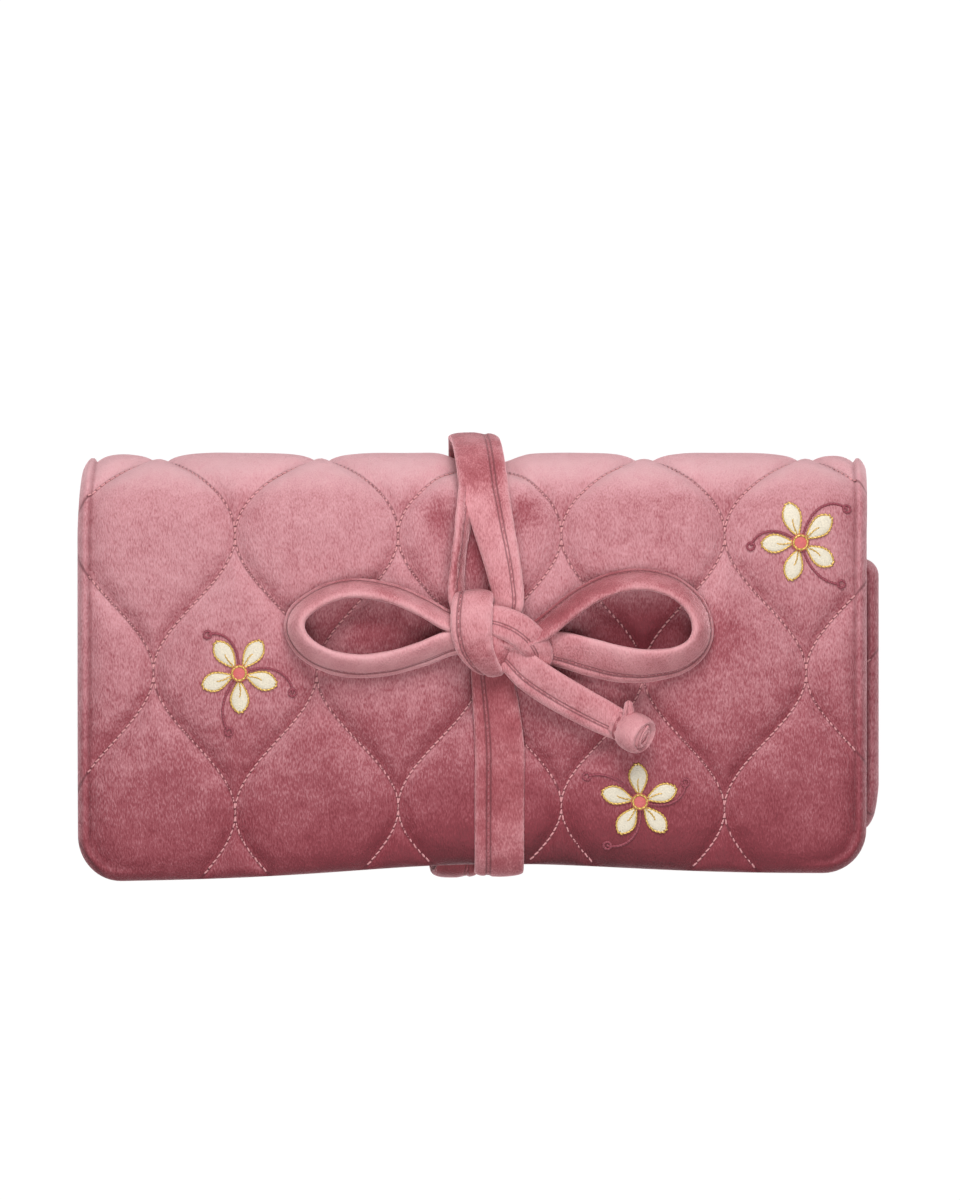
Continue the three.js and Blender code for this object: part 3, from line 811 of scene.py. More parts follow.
def stitches(
    centres: Array, along: Array, up: Array, length: float, radius: float, twist: float = 0.0
) -> Shape:
    """Short rounded stitches, each a closed six-sided spindle along its own direction.

    Args:
        centres: middle of each stitch.
        along: direction of each, or of all.
        up: a direction across each, or all.
        length: length of a stitch.
        radius: half its thickness.
        twist: how far each is turned off its direction, in degrees.

    Returns:
        One shape of all the stitches.
    """
    reach = np.array([-1.0, -0.6, 0.6, 1.0])
    girth = np.array([0.5, 1.0, 1.0, 0.5])
    # 1 where a stitch has no painted shade, 0 at its ends, which get painted shade.
    unshaded = np.array([0.0, 1.0, 1.0, 0.0])
    turn = all_round(6)
    angle = math.radians(twist)
    along, up = (np.broadcast_to(way, centres.shape) for way in (along, up))
    along = math.cos(angle) * along + math.sin(angle) * unit(np.cross(along, up))
    side = unit(np.cross(along, up))
    lift = np.cross(side, along)
    spoke = np.cos(turn)[:, None] * side[:, None] + np.sin(turn)[:, None] * lift[:, None]
    points = (
        centres[:, None, None]
        + (length / 2) * reach[:, None, None] * along[:, None, None]
        + radius * girth[:, None, None] * spoke[:, None]
    )
    painted_light = np.tile(np.repeat(unshaded, 6), len(centres))
    return Shape(points.reshape(-1, 3), spindle_faces(len(centres)).reshape(-1, 4), None, painted_light)


def ripple(x: Array, y: Array, length: float, seed: float) -> Array:
    """Gentle unevenness: five crossed sine waves of nearly the same length.

    Args:
        x: places in one direction.
        y: places in the other.
        length: about one wave's length.
        seed: where the waves start, and how they are turned.

    Returns:
        Heights from -1 to 1.
    """
    waves = 5
    total = np.zeros(np.broadcast(x, y).shape)
    for k in range(waves):
        angle = seed + 2.4 * k
        pitch = 2 * np.pi / (length * (0.75 + 0.13 * k))
        total = total + np.sin(pitch * (x * math.cos(angle) + y * math.sin(angle)) + 1.7 * k + seed)
    return total / waves


# The roll's cloth


def crowded(low: float, high: float, step: float, soft: tuple[bool, bool], rim: float) -> Array:
    """Places from low to high, close together over a rim at a soft end.

    Args:
        low: first place.
        high: last place.
        step: distance between places away from the rims.
        soft: whether there is a rim at the low end, and at the high end.
        rim: the rim's width.

    Returns:
        The places.
    """
    ease = rim * (1 - np.cos(np.linspace(0, np.pi / 2, 9)))
    start = low + ease if soft[0] else np.array([low])
    stop = high - ease[::-1] if soft[1] else np.array([high])
    middle = np.linspace(start[-1], stop[0], max(2, int((stop[0] - start[-1]) / step) + 1))
    return np.concatenate([start[:-1], middle, stop[1:]])


@dataclass(frozen=True)
class Stretch:
    """One of the lengths that the cloth's layers are made in, crossing a fold between two bodies.

    Its start or its end may be a free end of the panel.
    """

    name: str
    start: float
    end: float
    free: tuple[bool, bool]
    first: Body
    second: Body
    parts: tuple[str, ...]

    def nodes(self, layer: str) -> list[str]:
        """The frame's nodes that a layer of this length stands for."""
        return [f"{part}_{layer}" for part in self.parts]


@dataclass
class Fabric:
    """The long panel that makes the cover, as it lies when rolled.

    Its outside runs from the flap's free edge over the flap, round the spine, along the back,
    round the lower fold and along the lower panel. A place on it is x across, from its middle,
    and s along.
    """

    width: float = 200.0
    depth: float = 104.5
    fold_inset: float = 9.0
    skew: float = 1.5
    corner: float = 11.0
    tip_corner: float = 4.5
    tip_skew: float = 2.4
    spine_swell: float = 2.5
    height: float = 36.0
    lower_top: float = 25.7
    bar_radius: float = 6.0
    tip_gap: float = 0.6
    thickness: float = 6.5
    sag: float = 2.0
    sag_length: float = 50.0
    runs: list[dict] = field(default_factory=list)
    length: float = 0.0

    def __post_init__(self) -> None:
        """Works out the runs along the cloth."""
        self.edge_y = -self.depth / 2
        self.spine_radius = self.height / 2
        self.fold_radius = self.lower_top / 2
        self.spine_y = self.depth / 2 - self.spine_radius
        self.fold_y = self.edge_y + self.fold_inset + self.fold_radius
        self.tip_y = self.spine_y - self.bar_radius - self.tip_gap
        self.spine_turn = math.pi * self.spine_radius
        self.fold_turn = math.pi * self.fold_radius
        half = math.pi / 2
        self.add_run(self.spine_y - self.edge_y, (self.edge_y, self.height), half)
        self.add_run(self.spine_turn, (self.spine_y, self.spine_radius), half, self.spine_radius)
        self.add_run(self.spine_y - self.fold_y, (self.spine_y, 0.0), -half)
        self.add_run(self.fold_turn, (self.fold_y, self.fold_radius), -half, self.fold_radius)
        self.add_run(self.tip_y - self.fold_y, (self.fold_y, self.lower_top), -3 * half)

    def add_run(self, length: float, origin: tuple[float, float], turn: float, radius: float = 0.0) -> None:
        """Adds a straight run, or a turn round a centre."""
        self.runs.append({"start": self.length, "origin": origin, "turn": turn, "radius": radius})
        self.length += length

    def start(self, run: int) -> float:
        """Where a run starts along the cloth."""
        return self.runs[run]["start"]

    def stretches(self) -> list[Stretch]:
        """The three lengths that each layer is made in, parted mid-spine and mid-back.

        Returns:
            The lengths, from the flap's free edge on.
        """
        mid_spine = self.start(1) + self.spine_turn / 2
        mid_back = (self.start(2) + self.start(3)) / 2
        under = ("back_fold", "lower_fold", "lower")
        return [
            Stretch("flap", 0.0, mid_spine, (True, False), Body.FLAP, Body.SPINE, ("flap",)),
            Stretch("back", mid_spine, mid_back, (False, False), Body.SPINE, Body.BACK, ("spine", "back")),
            Stretch("lower", mid_back, self.length, (False, True), Body.BACK, Body.LOWER, under),
        ]

    def frame(self, s: Array) -> tuple[Array, Array, Array, Array]:
        """Place and facing of the outside in the YZ plane.

        Args:
            s: places along the cloth.

        Returns:
            y, z and the outward direction's y and z.
        """
        starts = np.array([run["start"] for run in self.runs])
        index = np.clip(np.searchsorted(starts, s, side="right") - 1, 0, len(starts) - 1)
        turn, radius = (np.array([run[key] for run in self.runs])[index] for key in ("turn", "radius"))
        origin = np.array([run["origin"] for run in self.runs])[index]
        along = s - starts[index]
        curved = radius > 0
        angle = np.where(curved, turn - along / np.where(curved, radius, 1), turn)
        ny, nz = np.cos(angle), np.sin(angle)
        swell = np.where(index == 1, self.spine_swell * ny, 0.0)
        y = origin[..., 0] + np.where(curved, radius * ny + swell, along * nz)
        z = origin[..., 1] + np.where(curved, radius * nz, -along * ny)
        return y, z, ny, nz

    def shift(self, s: Array) -> Array:
        """How far left or right the panel lies there."""
        places = [0, self.start(1), self.start(2), self.start(3), self.start(4), self.length]
        return np.interp(s, places, [-self.skew, -self.skew, 0, 0, self.tip_skew, self.tip_skew])

    def rounding(self, s: Array) -> Array:
        """The corners' radius at the nearer end."""
        return np.where(s < self.length / 2, self.corner, self.tip_corner)

    def from_edge(self, x: Array, s: Array) -> Array:
        """Distance inwards from the panel's outline: that of a rectangle with rounded corners.

        Args:
            x: places across.
            s: places along.

        Returns:
            The distances, 0 on the outline.
        """
        radius = self.rounding(s)
        over_x = np.abs(x) - (self.width / 2 - radius)
        over_s = radius - np.minimum(s, self.length - s)
        past = np.hypot(np.maximum(over_x, 0), np.maximum(over_s, 0))
        return np.maximum(0, radius - past - np.minimum(np.maximum(over_x, over_s), 0))

    def grid(
        self, length: Stretch, step: float, inset: float = 0.0, rim: float = 4.0
    ) -> tuple[Array, Array]:
        """Places over a length of the panel, closer together along its outline.

        Rows are narrower at the panel's corners, which are quarter circles.

        Args:
            length: where they start and end.
            step: distance between them.
            inset: how far inside the outline they stay.
            rim: how wide a rim they crowd in.

        Returns:
            x and s, by row and column.
        """
        half = self.width / 2 - inset
        low, high = max(length.start, inset), min(length.end, self.length - inset)
        rows = crowded(low, high, step, length.free, rim)
        u, s = np.meshgrid(crowded(-half, half, step, (True, True), rim) / half, rows)
        radius = self.rounding(s) - inset
        cut = np.maximum(0, radius - np.maximum(0, np.minimum(s, self.length - s) - inset))
        return u * (half - radius + np.sqrt(np.maximum(0, radius**2 - cut**2))), s

    def place(self, x: Array, s: Array, depth: Array) -> Array:
        """Points at a depth under the outside, from places across and along the cloth."""
        y, z, ny, nz = self.frame(s)
        return np.stack([x + self.shift(s), y - depth * ny, z - depth * nz - self.sagged(s)], axis=-1)

    def sagged(self, s: Array) -> Array:
        """How far the flap droops towards its free edge."""
        return self.sag * np.clip(1 - s / self.sag_length, 0, 1) ** 2

    def bend(self, piece: Piece, first: Body, second: Body) -> None:
        """Bakes a layer's placement into its mesh; the places just under the cover where it would cross the
        fold between two bodies are worked out but not used.

        Args:
            piece: the piece that crosses the fold.
            first: the body nearer the flap's free edge.
            second: the body further along the cloth; not used.
        """
        below_cover = self.thickness + 0.4
        middle, reach = {
            Body.FLAP: (self.start(1) + 0.25 * self.spine_turn, 0.19 * self.spine_turn),
            Body.SPINE: (self.start(1) + 0.75 * self.spine_turn, 0.19 * self.spine_turn),
            Body.BACK: (self.start(3) + 0.5 * self.fold_turn, 0.28 * self.fold_turn),
        }[first]
        sides = np.array([middle - reach, middle + reach])
        ends = self.place(np.zeros(2), sides, np.full(2, below_cover)) * MM
        ends[:, 0] = 0.0
        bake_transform(piece)


@dataclass(frozen=True)
class TieCourse:
    """Where the tie runs round the roll, seen from above."""

    front_x: float = 5.4
    back_x: float = -6.8
    spine_x: float = -1.4
    swing: tuple[float, float] = (-35.0, 44.0)

    def behind(self, y: Array | float) -> Array:
        """How far left or right it lies under the roll, swinging from the fold to the spine."""
        return np.interp(y, self.swing, (self.back_x, self.spine_x))


@dataclass(frozen=True)
class Press:
    """A flat channel down the flap under a strand: its middle, half width, depth, and where it starts."""

    x: float
    half: float
    depth: float
    start: float
    over: float

    def at(self, x: Array, y: Array) -> Array:
        """Its depth at places on the flap: a bell of the fourth power, growing from its start."""
        grown = np.clip((y - self.start) / self.over, 0, 1)
        return self.depth * grown * np.exp(-(((x - self.x) / self.half) ** 4))


@dataclass(frozen=True)
class Dent:
    """A soft round spot on the flap: its middle, its widths, and how strong it is."""

    x: float
    y: float
    wide: float
    tall: float
    share: float
    slant: float = 0.0

    def at(self, x: Array, y: Array) -> Array:
        """Its strength at places on the flap: a bell in both directions, leaning by its slant."""
        across = (x - self.x - self.slant * (y - self.y)) / self.wide
        return self.share * np.exp(-(across**2) - ((y - self.y) / self.tall) ** 2)


@dataclass
class QuiltedCover:
    """The padded velvet outside, in three lengths."""

    cloth: Fabric
    quilting: Quilting = Quilting()
    border: Border = Border()
    course: TieCourse = TieCourse()
    puff: float = 2.9
    cell_fall: float = 2.2
    cell_round: float = 11.0
    channel: float = 0.5
    crease_level: float = 0.12
    shoulder_fall: float = 2.6
    roll_height: float = 0.42
    pucker: float = 0.045
    pucker_pitch: float = 5.3
    pucker_column: float = 20.25
    pucker_fall: float = 3.4
    uneven: float = 0.05
    uneven_length: float = 17.0
    step: float = 1.05
    edge_depth: float = 4.3
    rim: float = 2.2
    soft_rim: float = 5.0
    stitch_pitch: float = 1.65
    stitch_radius: float = 0.23
    stitch_lift: float = 0.2
    tie_half: float = 6.5
    groove: float = 2.8
    groove_side: float = 3.0
    # How far apart and which way the slope is sampled for the painted light and shade.
    shade_slope_reach: float = 0.4
    shade_slope_way: tuple[float, float] = (0.12, -0.98)
    press_fade: float = 10.0
    behind_shift: float = 1000.0
    draw: float = 3.4
    draw_x: float = 4.0
    draw_wide: float = 48.0
    draw_depth: float = 60.0
    draw_sink: float = 1.2
    askew: float = 0.011
    presses: tuple[Press, ...] = (
        Press(TieCourse.front_x, 7.5, 0.9, start=12.0, over=-20.0),
        Press(1.0, 9.0, 1.8, start=14.0, over=14.0),
    )
    dents: tuple[Dent, ...] = (
        Dent(-10.35, 37.0, 3.4, 7.0, 1.9, slant=-0.35),
        Dent(-14.8, 31.0, 3.0, 5.0, -0.5, slant=0.2),
        Dent(12.0, 38.0, 3.2, 7.0, 1.7, slant=0.3),
    )
    # Spots of painted shadow: in the bow's loops, between and beside its strands, and along the drawn-in
    # free edge.
    painted_shadow_spots: tuple[Dent, ...] = (
        Dent(-10.0, 37.0, 4.0, 6.0, 0.7),
        Dent(0.0, 30.0, 4.5, 12.0, 0.9),
        Dent(12.5, 38.0, 3.5, 6.0, 0.6),
        Dent(-24.0, 10.0, 16.0, 7.0, 0.7),
        Dent(41.0, 9.0, 14.0, 7.0, 1.4),
        Dent(64.0, 8.0, 8.0, 7.0, 0.3),
        Dent(20.0, -54.0, 46.0, 13.0, 1.5),
    )

    def sunk(self, x: Array, s: Array) -> Array:
        """Depth of the outside under the cells' highest level.

        With d the distance to a sewn line, rounded off close to it, a cell rises as the mean of
        1 - exp(-d / cell_fall) and a quarter round cell_round wide, and puckers along the lines.
        The edge has a sewn crease and a rolled rim that turns down to the outline.

        Args:
            x: places across.
            s: places along.

        Returns:
            The depths.
        """
        d = np.hypot(self.quilting.distance(x, s), self.channel) - self.channel
        cell = 0.5 * (1 - np.exp(-d / self.cell_fall)) + 0.5 * quarter_round(d, self.cell_round)
        edge, inset = self.cloth.from_edge(x, s), self.border.inset
        past = np.maximum(edge - inset, 0)
        shoulder = self.crease_level + (1 - self.crease_level) * (1 - np.exp(-past / self.shoulder_fall))
        outwards = np.clip((inset - edge) / inset, 0, 1)
        roll = self.crease_level + self.roll_height * np.sin(np.pi * outwards**0.7)
        crown = np.where(edge > inset, cell * shoulder, roll * (0.8 + 0.2 * cell))
        firm = self.border.firm(x, s)
        crown = cell + firm * (crown - cell)
        wave = np.sin(2 * np.pi * s / self.pucker_pitch + 2.2 * np.round(x / self.pucker_column))
        crown = crown + self.pucker * np.exp(-d / self.pucker_fall) * wave * np.minimum(1, d / 0.8)
        crown = crown + self.uneven * ripple(x, s, self.uneven_length, 0.7)
        depth = self.puff * (1 - crown) + self.pressed(x, s)
        turn = quarter_round(edge, self.rim + (1 - firm) * self.soft_rim)
        return self.edge_depth + (depth - self.edge_depth) * turn

    def on_flap(self, x: Array, s: Array) -> tuple[Array, Array]:
        """Places on the flap in the roll's frame, from places across and along the cloth."""
        return x - self.cloth.skew, s + self.cloth.edge_y

    def pressed(self, x: Array, s: Array) -> Array:
        """Extra depth where the tie pulls the flap in: flat under its strands, and dents beside them."""
        fade = np.clip((self.cloth.start(2) - s) / self.press_fade, 0, 1)
        return fade * sum(spot.at(*self.on_flap(x, s)) for spot in (*self.presses, *self.dents))

    def pulled(self, x: Array, s: Array) -> Array:
        """How far the flap's free edge is drawn up by the tie, as a bell, and lies askew."""
        bell = self.draw * np.exp(-(((x - self.draw_x) / self.draw_wide) ** 2))
        return np.clip(1 - s / self.draw_depth, 0, 1) ** 2 * (bell - self.draw_sink + self.askew * x)

    def drawn(self, x: Array, s: Array, depth: Array) -> Array:
        """Points at a depth under the cloth's outside, with the flap's free edge drawn up."""
        up = np.stack([0 * x, self.pulled(x, s), 0 * x], axis=-1)
        return self.cloth.place(x, s, depth) + up

    def outside(self, x: Array, s: Array, lift: float = 0.0) -> Array:
        """Points on the finished outside, which makes room for the tie under the roll.

        Args:
            x: places across.
            s: places along.
            lift: height above it.

        Returns:
            The points.
        """
        points = self.drawn(x, s, self.sunk(x, s) - lift)
        beside = np.abs(points[..., 0] - self.course.behind(points[..., 1])) - self.tie_half
        past = np.clip(beside / self.groove_side, 0, 1)
        share = 1 - past**2 * (3 - 2 * past)
        under = (s > self.cloth.start(1)) & (s < self.cloth.start(4))
        floor = np.where(under, self.groove * share - lift, -np.inf)
        points[..., 2] = np.maximum(points[..., 2], floor)
        return points

    def inside(self, x: Array, s: Array) -> Array:
        """Points on the side that faces the lining, turned up to the same outline."""
        turn = quarter_round(self.cloth.from_edge(x, s), self.rim)
        return self.drawn(x, s, self.edge_depth + (self.cloth.thickness - self.edge_depth) * turn)

    def panel(self, length: Stretch) -> Shape:
        """A closed padded length of the cover.

        The outside and inside are grids over the same places, joined along the outline.

        Args:
            length: where it starts and ends.

        Returns:
            The shape.
        """
        x, s = self.cloth.grid(length, self.step)
        made = sandwich(self.outside(x, s), self.inside(x, s), x, s)
        made.fabric[x.size:, 1] += self.behind_shift
        # Painted light and shade on the outside grid, none on the inside.
        made.painted_light = np.concatenate([self.lie(x, s).ravel(), np.zeros(x.size)])
        return made

    def climb(self, x: Array, s: Array) -> Array:
        """How steeply the outside climbs towards the flap's right free corner."""
        dx, ds = (self.shade_slope_reach * part for part in self.shade_slope_way)
        return (self.sunk(x - dx, s - ds) - self.sunk(x + dx, s + ds)) / (2 * self.shade_slope_reach)

    def lie(self, x: Array, s: Array) -> Array:
        """Painted light and shade: lighter on slopes that face the spine and the key light, darker on slopes
        facing away, half as much as the outside climbs, less the painted shadows.
        """
        return np.clip(0.5 * self.climb(x, s), -1, 1) - self.painted_shadows(x, s)

    def painted_shadows(self, x: Array, s: Array) -> Array:
        """Painted shadows under and beside the bow's loops and strands, and painted shade along the drawn-in
        free edge.
        """
        return sum(spot.at(*self.on_flap(x, s)) for spot in self.painted_shadow_spots) * (s < self.cloth.start(2))

    def sewing(self, length: Stretch) -> Shape:
        """The stitches along the sewn lines, lying in their channels.

        Args:
            length: where they start and end.

        Returns:
            The stitches.
        """
        places = []
        for family in (-1, 1):
            for column in range(-4, 4):
                s = np.linspace(length.start, length.end, 2000)
                swung = column + family * self.quilting.line_sway(s)
                x = self.quilting.across + self.quilting.cell_width * swung
                run = run_length(np.stack([x, s], axis=1))
                even = np.arange(self.stitch_pitch / 2, run[-1], self.stitch_pitch)
                places.append(np.stack([np.interp(even, run, x), np.interp(even, run, s)], axis=1))
        spots = np.vstack(places)
        closest = np.where(self.border.firm(*spots.T) < 0.5, 0.8, self.rim + 0.3)
        x, s = spots[self.cloth.from_edge(*spots.T) > closest].T
        slope = self.quilting.slope_at(x, s)
        ds = 0.4 / np.hypot(1, slope)
        ahead = self.outside(x + slope * ds, s + ds)
        behind = self.outside(x - slope * ds, s - ds)
        up = unit(self.outside(x, s, 1.0) - self.outside(x, s))
        middle = (ahead + behind) / 2 + self.stitch_lift * up
        return stitches(middle, unit(ahead - behind), up, self.stitch_pitch, self.stitch_radius, 8.0)

    def build(self, velvet: Material, thread: Material) -> None:
        """Makes the three lengths.

        Args:
            velvet: the cover's finish.
            thread: its stitches' finish.
        """
        for length in self.cloth.stretches():
            parts = [(self.panel(length), velvet), (self.sewing(length), thread)]
            piece = make_piece(f"cover_{length.name}", parts)
            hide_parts(*length.nodes("quilt"))
            self.cloth.bend(piece, length.first, length.second)


@dataclass
class Lining:
    """The satin inside of the roll, in three lengths like the cover's."""

    cloth: Fabric
    gap: float = 0.3
    thickness: float = 1.0
    inset: float = 2.0
    hem: float = 4.0
    rim: float = 1.5
    rim_fall: float = 1.2
    uneven: float = 0.18
    step: float = 2.4

    def panel(self, length: Stretch) -> Shape:
        """A closed thin length of lining, a little uneven.

        Its two sides are grids at steady depths under the cover, meeting at a rounded rim.

        Args:
            length: where it starts and ends.

        Returns:
            The shape.
        """
        x, s = self.cloth.grid(length, self.step, self.inset, self.rim)
        edge = np.maximum(0, self.cloth.from_edge(x, s) - self.inset)
        half_thick = quarter_round(edge, self.rim_fall) * self.thickness / 2
        wavy = quarter_round(edge, self.rim_fall) * self.uneven * ripple(x, s, 23.0, 2.1)
        middle = self.cloth.thickness + self.gap + self.thickness / 2
        near = self.cloth.place(x, s, middle - half_thick)
        far = self.cloth.place(x, s, middle + half_thick + wavy * np.minimum(1, edge / 8))
        return sandwich(near, far, x, s)

    def build(self, satin: Material) -> None:
        """Makes the three lengths.

        Args:
            satin: the lining's finish.
        """
        width = (self.cloth.width - 2 * self.inset) * MM
        for length in self.cloth.stretches():
            nodes = length.nodes("lining")
            piece = make_piece(f"lining_{length.name}", [(self.panel(length), satin)])
            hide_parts(*nodes)
            self.cloth.bend(piece, length.first, length.second)
            flat = (width, (length.end - length.start - 2 * self.hem) * MM)


# The tie


@dataclass
class Band:
    """A flat velvet tube along a route of x, y, z, width and lean, with a line of stitching."""

    route: Route
    lay: Lay
    thickness: float = 2.6
    groove: float = 0.22
    step: float = 0.9
    # Painted light and shade along the band, and a painted sheen highlight on its rounded edges.
    painted_light: tuple[float, ...] = (0.0,)
    painted_edge_sheen: float = 0.7
    taper: tuple[float, float] = (1.0, 1.0)
    taper_over: float = 0.06
    stitch_depth: float = 0.56

    def frames(self) -> tuple[Array, Array, Array, Array, Array]:
        """The band's path and its directions.

        Returns:
            Points, forward, wide and thick directions, and widths.
        """
        points, extras = smooth_path(np.array(self.route, dtype=float), self.step)
        forward = unit(np.gradient(points, axis=0))
        if self.lay is Lay.ACROSS:
            level = np.broadcast_to(EAST, points.shape)
        else:
            sign = 1.0 if self.lay is Lay.LEFT else -1.0
            level = sign * np.cross(UP, forward)
        level = unit(level - np.sum(level * forward, axis=1, keepdims=True) * forward)
        rise = np.cross(forward, level)
        rise = rise * np.where(rise[:, 2:] < 0, -1.0, 1.0) if self.lay is not Lay.ACROSS else rise
        lean = np.radians(extras[:, 1:2])
        wide = level * np.cos(lean) + rise * np.sin(lean)
        return points, forward, wide, np.cross(wide, forward), extras[:, 0]

    def section(self, widths: Array) -> tuple[Array, Array]:
        """The band's outline across, for each width: a flat pillow with a sewn groove near one edge.

        Across is cos^0.7 and through is sin^0.85 of the turn, each with its sign.

        Args:
            widths: the band's width at each place.

        Returns:
            Distances along the wide and the thick direction, by place and by turn.
        """
        turn = all_round(36) + 0.02
        across = signed_power(np.cos(turn), 0.7)
        through = signed_power(np.sin(turn), 0.85)
        a = (widths / 2)[:, None] * across
        pinch = 1 - 0.42 * np.exp(-(((across - 2 * self.groove) / 0.13) ** 2))
        place = np.linspace(0, 1, len(widths))[:, None]
        wave = 0.07 * np.sin(37 * place + 2 * across) + 0.05 * np.sin(91 * place - 3 * across)
        worn = 1 + wave * np.minimum(1, 8 * np.minimum(place, 1 - place))
        return a, (self.thickness / 2) * through * pinch * worn

    def shape(self) -> Shape:
        """The band's closed tube: its outline carried along its path, narrowed at its ends by the taper.

        Returns:
            The shape, with its painted light and shade, and a painted highlight along its rounded edges.
        """
        points, _, wide, thick, widths = self.frames()
        a, b = self.section(widths)
        place = np.linspace(0, 1, len(points))
        ways = zip(self.taper, (place, 1 - place))
        at_start, at_end = (np.minimum(1, least + way / self.taper_over) for least, way in ways)
        ends = (at_start * at_end)[:, None]
        rings = points[:, None] + (a * ends)[..., None] * wide[:, None]
        rings = rings + (b * ends)[..., None] * thick[:, None]
        share = a / widths[:, None]
        run = np.arange(len(points)) * self.step
        cloth = np.broadcast_arrays(FULL_BAND * (share - self.groove), run[:, None])
        made = tube(rings, np.stack(cloth, axis=-1))
        # Painted light and shade along the band, lightened at its rounded edges as a painted sheen
        # highlight.
        lie = np.interp(place, np.linspace(0, 1, len(self.painted_light)), self.painted_light)[:, None]
        made.painted_light = (lie + self.painted_edge_sheen * (np.abs(2 * share) ** 8 - 0.3)).ravel()
        return made

    def sewing(self) -> Shape:
        """Stitches down the groove, on both faces.

        Returns:
            The stitches.
        """
        points, forward, wide, thick, widths = self.frames()
        kept = np.arange(3, len(points) - 3, 2)
        both = []
        for face in (-1, 1):
            out = face * self.stitch_depth * self.thickness / 2
            centres = points + (self.groove * widths)[:, None] * wide + out * thick
            both.append((centres[kept], forward[kept], face * thick[kept]))
        centres, along, up = (np.vstack(rows) for rows in zip(*both))
        return stitches(centres, along, up, 1.35, 0.2, 10.0)

    def path(self) -> list[Point]:
        """The path's points, in metres."""
        return [tuple(point) for point in (self.frames()[0] * MM).tolist()]

    def length(self) -> float:
        """The path's length, in metres."""
        return float(run_length(self.frames()[0])[-1]) * MM


